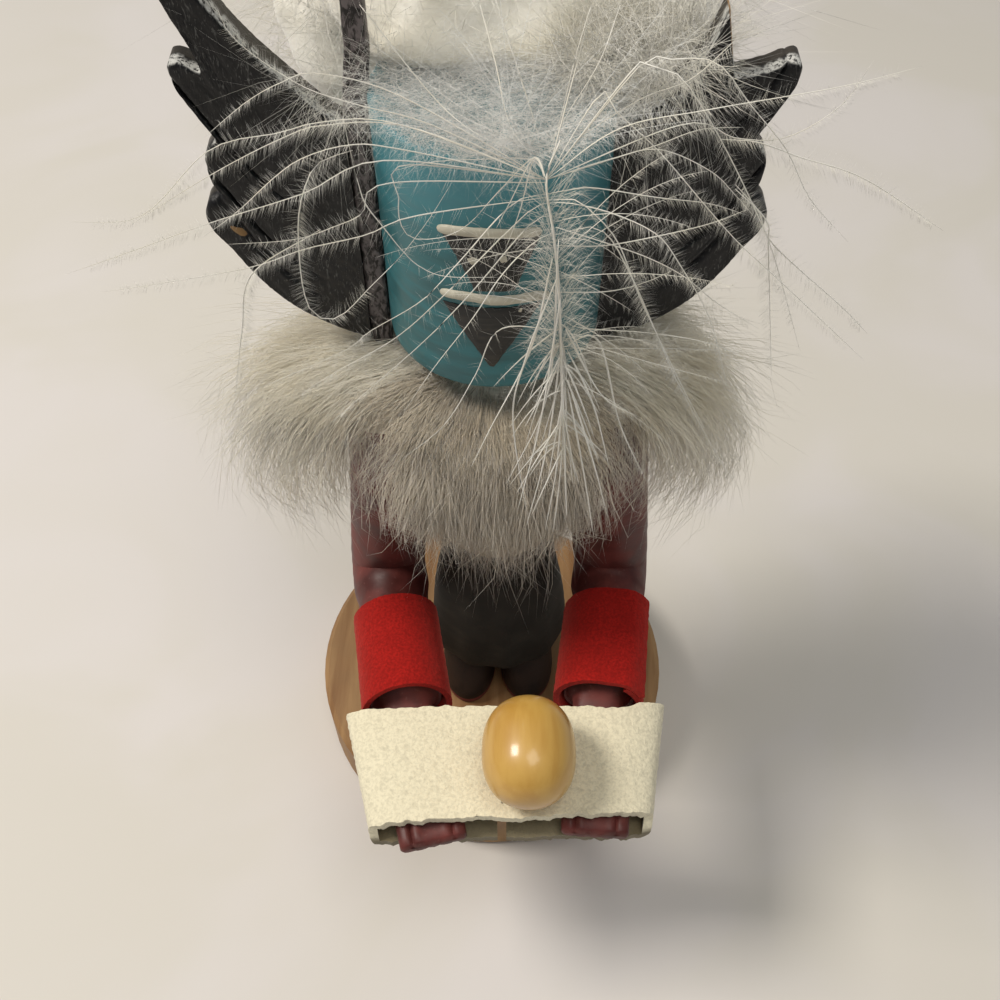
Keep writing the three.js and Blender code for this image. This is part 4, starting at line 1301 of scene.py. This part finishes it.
HEAD_TOP = 134.0
MASS_AT, MASS_HALF = (HEAD_X, 19.5, 131), (24.6, 12.4, 18.0)
DOWN_LIMIT = (45.0, 42.5, 162.5)
DOWN_STEPS = 3
DOWN_BUNCHES = (  # centre, half sizes, count, length, half width, and the least y of a direction
    (MASS_AT, MASS_HALF, 4800, 5.8, 0.046, 0.2),
    (MASS_AT, MASS_HALF, 3400, 5.0, 0.028, -1),
    ((HEAD_X + 2, 11, 138), (22, 9.5, 8), 2300, 6.0, 0.036, -1),
    ((HEAD_X + 14, 0.5, 137.2), (8, 5, 3), 2600, 4.8, 0.038, -1),
    ((HEAD_X - 14, -2, 135), (5, 3, 3), 500, 5.0, 0.018, -1),
    ((HEAD_X + 1, 3, 136.2), (15, 3.2, 1.6), 1500, 4.6, 0.022, -1),
)


def mass_mesh():
    """The plume's mass: a lumpy oval ball, kept clear of the mask and drawn over its top."""
    turn = np.linspace(0.03, math.pi - 0.03, 80)[:, None]
    around = turns(120)
    ball = np.stack([
        np.sin(turn) * np.cos(around), np.sin(turn) * np.sin(around), -np.cos(turn) + 0 * around,
    ], -1)
    core = ball * MASS_HALF + [MASS_AT[0] + 0.4, *MASS_AT[1:]]
    core += (1.2 * lumps(core, 12, 95) + 0.10 * lumps(core, 3.0, 96))[..., None] * ball
    gap = np.linalg.norm(core[..., :2] - [HEAD_X, 0], axis=-1)
    clear = np.where(core[..., 2] < HEAD_TOP + 0.6, settings().head_radius + 0.6, 0)
    core = spread(core, np.maximum(gap, clear) / gap)
    above = soft_step(core[..., 2], HEAD_TOP + 0.5, HEAD_TOP + 1.7)
    ahead = soft_step(-ball[..., 1], -0.3, 0.6)
    core[..., 1] -= 7.5 * above * ahead * soft_step(-np.abs(core[..., 0] - HEAD_X), -19, -11)
    return tube_mesh("plume_mass", core)


def down_hairs(rng, centre, half, count, long, thin, behind):
    """Loose down: fine curling hairs that leave an oval ball in all directions.

    A hair starts on the ball scaled to its three half sizes, runs along the ball's own outward
    direction and curls towards a slow noise. Only directions whose y is above behind are used.
    A hair that would pass DOWN_LIMIT is shortened in proportion until it fits.
    """
    aim = unit(rng.normal(size=(count * 4, 3)))
    aim = aim[aim[:, 1] > behind][:count]
    centre, half = np.array(centre), np.array(half)
    root = centre + aim * half * rng.uniform(0.88, 1.06, (len(aim), 1))
    out = unit(aim / half)
    curl = drift(root, 9, 91)
    reach = long * rng.uniform(0.4, 1.2, (len(aim), 1))
    u = np.linspace(0, 1, DOWN_STEPS)[None, :, None]
    own = rng.normal(0, 0.55, (len(aim), 3))
    span = ((0.6 * out + own)[:, None] * reach[:, None] * u
            + (curl * 0.9 + own * 0.8)[:, None] * reach[:, None] * u ** 2)
    fits = (np.array(DOWN_LIMIT) - root) / np.maximum(span.max(axis=1), 0.001)
    paths = root[:, None] + span * np.minimum(fits.min(axis=1), 1.0)[:, None, None]
    wide = rng.uniform(0.6, 1.1, (len(aim), 1)) * thin * np.linspace(1.0, 0.25, DOWN_STEPS)[None]
    return paths, wide


def crown_hairs(rng, count):
    """Down that lies over the mask's top.

    Each hair starts somewhere in an oval a little above the top, runs forwards or aside nearly
    level, bows up by a parabola and ends lower.
    """
    turn, out = rng.uniform(0, FULL, count), np.sqrt(rng.random(count))
    root = np.stack([HEAD_X + 0.6 + 12.2 * out * np.cos(turn), -1.4 + 11.6 * out * np.sin(turn),
                     HEAD_TOP + 0.3 + rng.uniform(0, 2.6, count) * (1.1 - out)], -1)
    way = rng.normal(-math.pi / 2, 1.1, count)
    reach = rng.uniform(2.5, 7.5, count)
    aim = np.stack([np.cos(way), np.sin(way), rng.normal(0.05, 0.14, count)], -1)
    u = np.linspace(0, 1, DOWN_STEPS)[None, :, None]
    curl = rng.normal(0, 0.3, (count, 3))
    paths = root[:, None] + reach[:, None, None] * (aim[:, None] * u + curl[:, None] * u ** 2)
    bow = 3.2 * (u * (1 - u))[..., 0]
    paths[..., 2] = np.maximum(paths[..., 2] + bow, HEAD_TOP + 0.25)
    wide = rng.uniform(0.6, 1.2, (count, 1)) * 0.019 * np.linspace(1, 0.2, DOWN_STEPS)[None]
    return paths, wide


def veil_barbs(rng, count, steps):
    """Long fine barbs that leave the feather's root over the crown, each with a raised middle."""
    aim = unit(np.stack([rng.normal(0, 1.0, count), rng.uniform(-0.5, 1.2, count),
                         rng.uniform(0, 0.6, count)], -1))
    root = np.array([4.8, -14, 136.4]) + rng.normal(0, 1, (count, 3)) * [2, 1, 0.5]
    tip = root + aim * rng.uniform(10, 24, (count, 1))
    knee = (root + tip) / 2
    knee[:, 2] += rng.uniform(0, 2, count)
    return barb_paths(root, knee, tip, steps)


class KACHINA_OT_plume(Operator):
    """Build the plume: the down behind the head and the feather that falls over the mask."""
    bl_idname = "kachina.plume"
    bl_label = "Plume"

    def execute(self, context):
        tone = settings().down
        deep = shade(tone, *DEEPER)
        soft = soft_finish("down_mass", tone, deep, 120)
        behind = soft.stretch(soft.axis("Y"), 0.021, 0.028)
        folds = soft.times(soft.noise(330, 6, 2.5), behind)
        soft.bump(folds, 0.9, 1.0).bump(soft.noise(700, 5, 1.5), 0.35, 0.3)
        soft.bump(soft.noise(2600, 4, 1.0), 0.5, 0.10)
        finish_piece(mass_mesh(), soft.material, "white_down", "plume_down")

        rng = np.random.default_rng(101)
        look = soft_finish("down_hair", tone, deep, 140)
        loose = [down_hairs(rng, *bunch) for bunch in DOWN_BUNCHES]
        finish_piece(strand_mesh("plume_loose_down", *loose), look.material, "white_down")

        crown = crown_hairs(rng, 7400)
        veil = veil_barbs(rng, 34, 10)
        # Painted reflection: the down over the crown is tinted cooler for the turquoise light it
        # catches from the mask.
        cool = soft_finish("down_crown", [0.99, 0.98, 0.93], [0.95, 0.96, 0.93], 140)
        crown = strand_mesh("plume_crown_barbs", crown, tapered(veil, 0.028),
                            barbules(rng, veil, 0.2, 1.8))
        finish_piece(crown, cool.material, "white_down")

        main = feather_barbs(30)
        in_fan = (main[:, -1, 2] < 112) & (np.abs(main[:, -1, 0] - 8) < 12)
        extra = random_barbs(rng, 22, 60, 125, -1.2, 0.9, 9, 24, 16)
        fan = random_barbs(rng, 34, 100, 160, -1.52, -1.2, 14, 24, 14)
        mist = random_barbs(rng, 620, 50, 120, -1.5, 1.2, 2.0, 6.5, 3)
        shaft = path_through(SHAFT[2:], 60)
        shaft_width = np.interp(np.arange(60), [0, 20, 40, 59], [0.10, 0.20, 0.19, 0.05])
        feather = strand_mesh(
            "plume_falling_feather", (shaft[None], shaft_width[None]),
            tapered(main, np.where(in_fan, 0.085 * 1.7, 0.085)[:, None]),
            tapered(extra, 0.05), tapered(fan, 0.125), tapered(mist, 0.022),
            barbules(rng, main, 0.082, 1.9, 0.14), barbules(rng, extra, 0.10, 1.5, 0.3),
            barbules(rng, fan, 0.3, 1.0),
        )
        finish_piece(feather, look.material, "white_down", "plume_feather")
        return {"FINISHED"}


# ---- stage, in metres

SKY, SKY_STRENGTH = (0.93, 0.97, 1.0), 0.20
LIGHTS = (  # name, place, size, power and tint; each shines on the doll's middle
    ("window", (-0.56, 0.04, 0.88), 0.28, 7.15, (1.0, 0.94, 0.86)),
    ("overhead", (0.14, -0.22, 1.0), 0.44, 2.7, (1.0, 0.96, 0.89)),
)
LIT_POINT = (0, -0.01, 0.06)
CAMERA_AT, CAMERA_TILT, CAMERA_LENS = (0.0015, -0.0988, 0.1987), 36, 39.6


class KACHINA_OT_stage(Operator):
    """Build the pale floor, the soft studio light and the camera."""
    bl_idname = "kachina.stage"
    bl_label = "Stage"

    def execute(self, context):
        scene = context.scene
        scene.view_settings.view_transform = "Standard"
        bpy.ops.mesh.primitive_plane_add(size=6, location=(0, 0, 0))
        floor = context.object
        floor.name = "stage_floor"
        look = Finish("pale_floor", Roughness=0.55, Specular_IOR_Level=0.25)
        pale = settings().floor
        cloud = look.noise(16, 3, 0.8)
        look.color(look.blend(look.stretch(cloud, 0.35, 0.68), shade(pale, 0.95),
                              shade(pale, 1, 1, 1.06)))
        floor.data.materials.append(look.material)
        world = bpy.data.worlds.new("studio")
        scene.world = world
        world.use_nodes = True
        sky = world.node_tree.nodes["Background"]
        sky.inputs["Color"].default_value = (*SKY, 1)
        sky.inputs["Strength"].default_value = SKY_STRENGTH
        for name, place, size, power, tint in LIGHTS:
            data = bpy.data.lights.new(name, "AREA")
            data.size, data.energy, data.color = size, power, tint
            lamp = bpy.data.objects.new(name, data)
            lamp.location = place
            aim = np.array(LIT_POINT) - np.array(place)
            lamp.rotation_euler = (
                math.atan2(math.hypot(aim[0], aim[1]), -aim[2]), 0,
                math.atan2(aim[1], aim[0]) - math.pi / 2,
            )
            scene.collection.objects.link(lamp)
        data = bpy.data.cameras.new("camera")
        data.sensor_width, data.lens = 36, CAMERA_LENS
        data.clip_start = 0.01
        camera = bpy.data.objects.new("camera", data)
        camera.location = CAMERA_AT
        camera.rotation_euler = (math.radians(CAMERA_TILT), 0, 0)
        scene.collection.objects.link(camera)
        scene.camera = camera
        return {"FINISHED"}


class KACHINA_PT_panel(Panel):
    """Lists the doll's settings and the steps that build it."""
    bl_label = "Kachina doll"
    bl_idname = "KACHINA_PT_panel"
    bl_space_type = "VIEW_3D"
    bl_region_type = "UI"
    bl_category = "Kachina"

    def draw(self, context):
        for name in KachinaSettings.__annotations__:
            self.layout.prop(context.scene.kachina, name)
        for operator in OPERATORS:
            self.layout.operator(operator.bl_idname)


OPERATORS = (
    KACHINA_OT_stage, KACHINA_OT_base, KACHINA_OT_body, KACHINA_OT_mask, KACHINA_OT_wings,
    KACHINA_OT_arms, KACHINA_OT_band, KACHINA_OT_bead, KACHINA_OT_ruff, KACHINA_OT_plume,
)


def register():
    for kind in (KachinaSettings, *OPERATORS, KACHINA_PT_panel):
        bpy.utils.register_class(kind)
    bpy.types.Scene.kachina = PointerProperty(type=KachinaSettings)


def unregister():
    del bpy.types.Scene.kachina
    for kind in (KACHINA_PT_panel, *reversed(OPERATORS), KachinaSettings):
        bpy.utils.unregister_class(kind)


def build():
    """Register the add-on and run every step in order."""
    register()
    for operator in OPERATORS:
        group, name = operator.bl_idname.split(".")
        getattr(getattr(bpy.ops, group), name)()


if __name__ == "__main__":
    build()
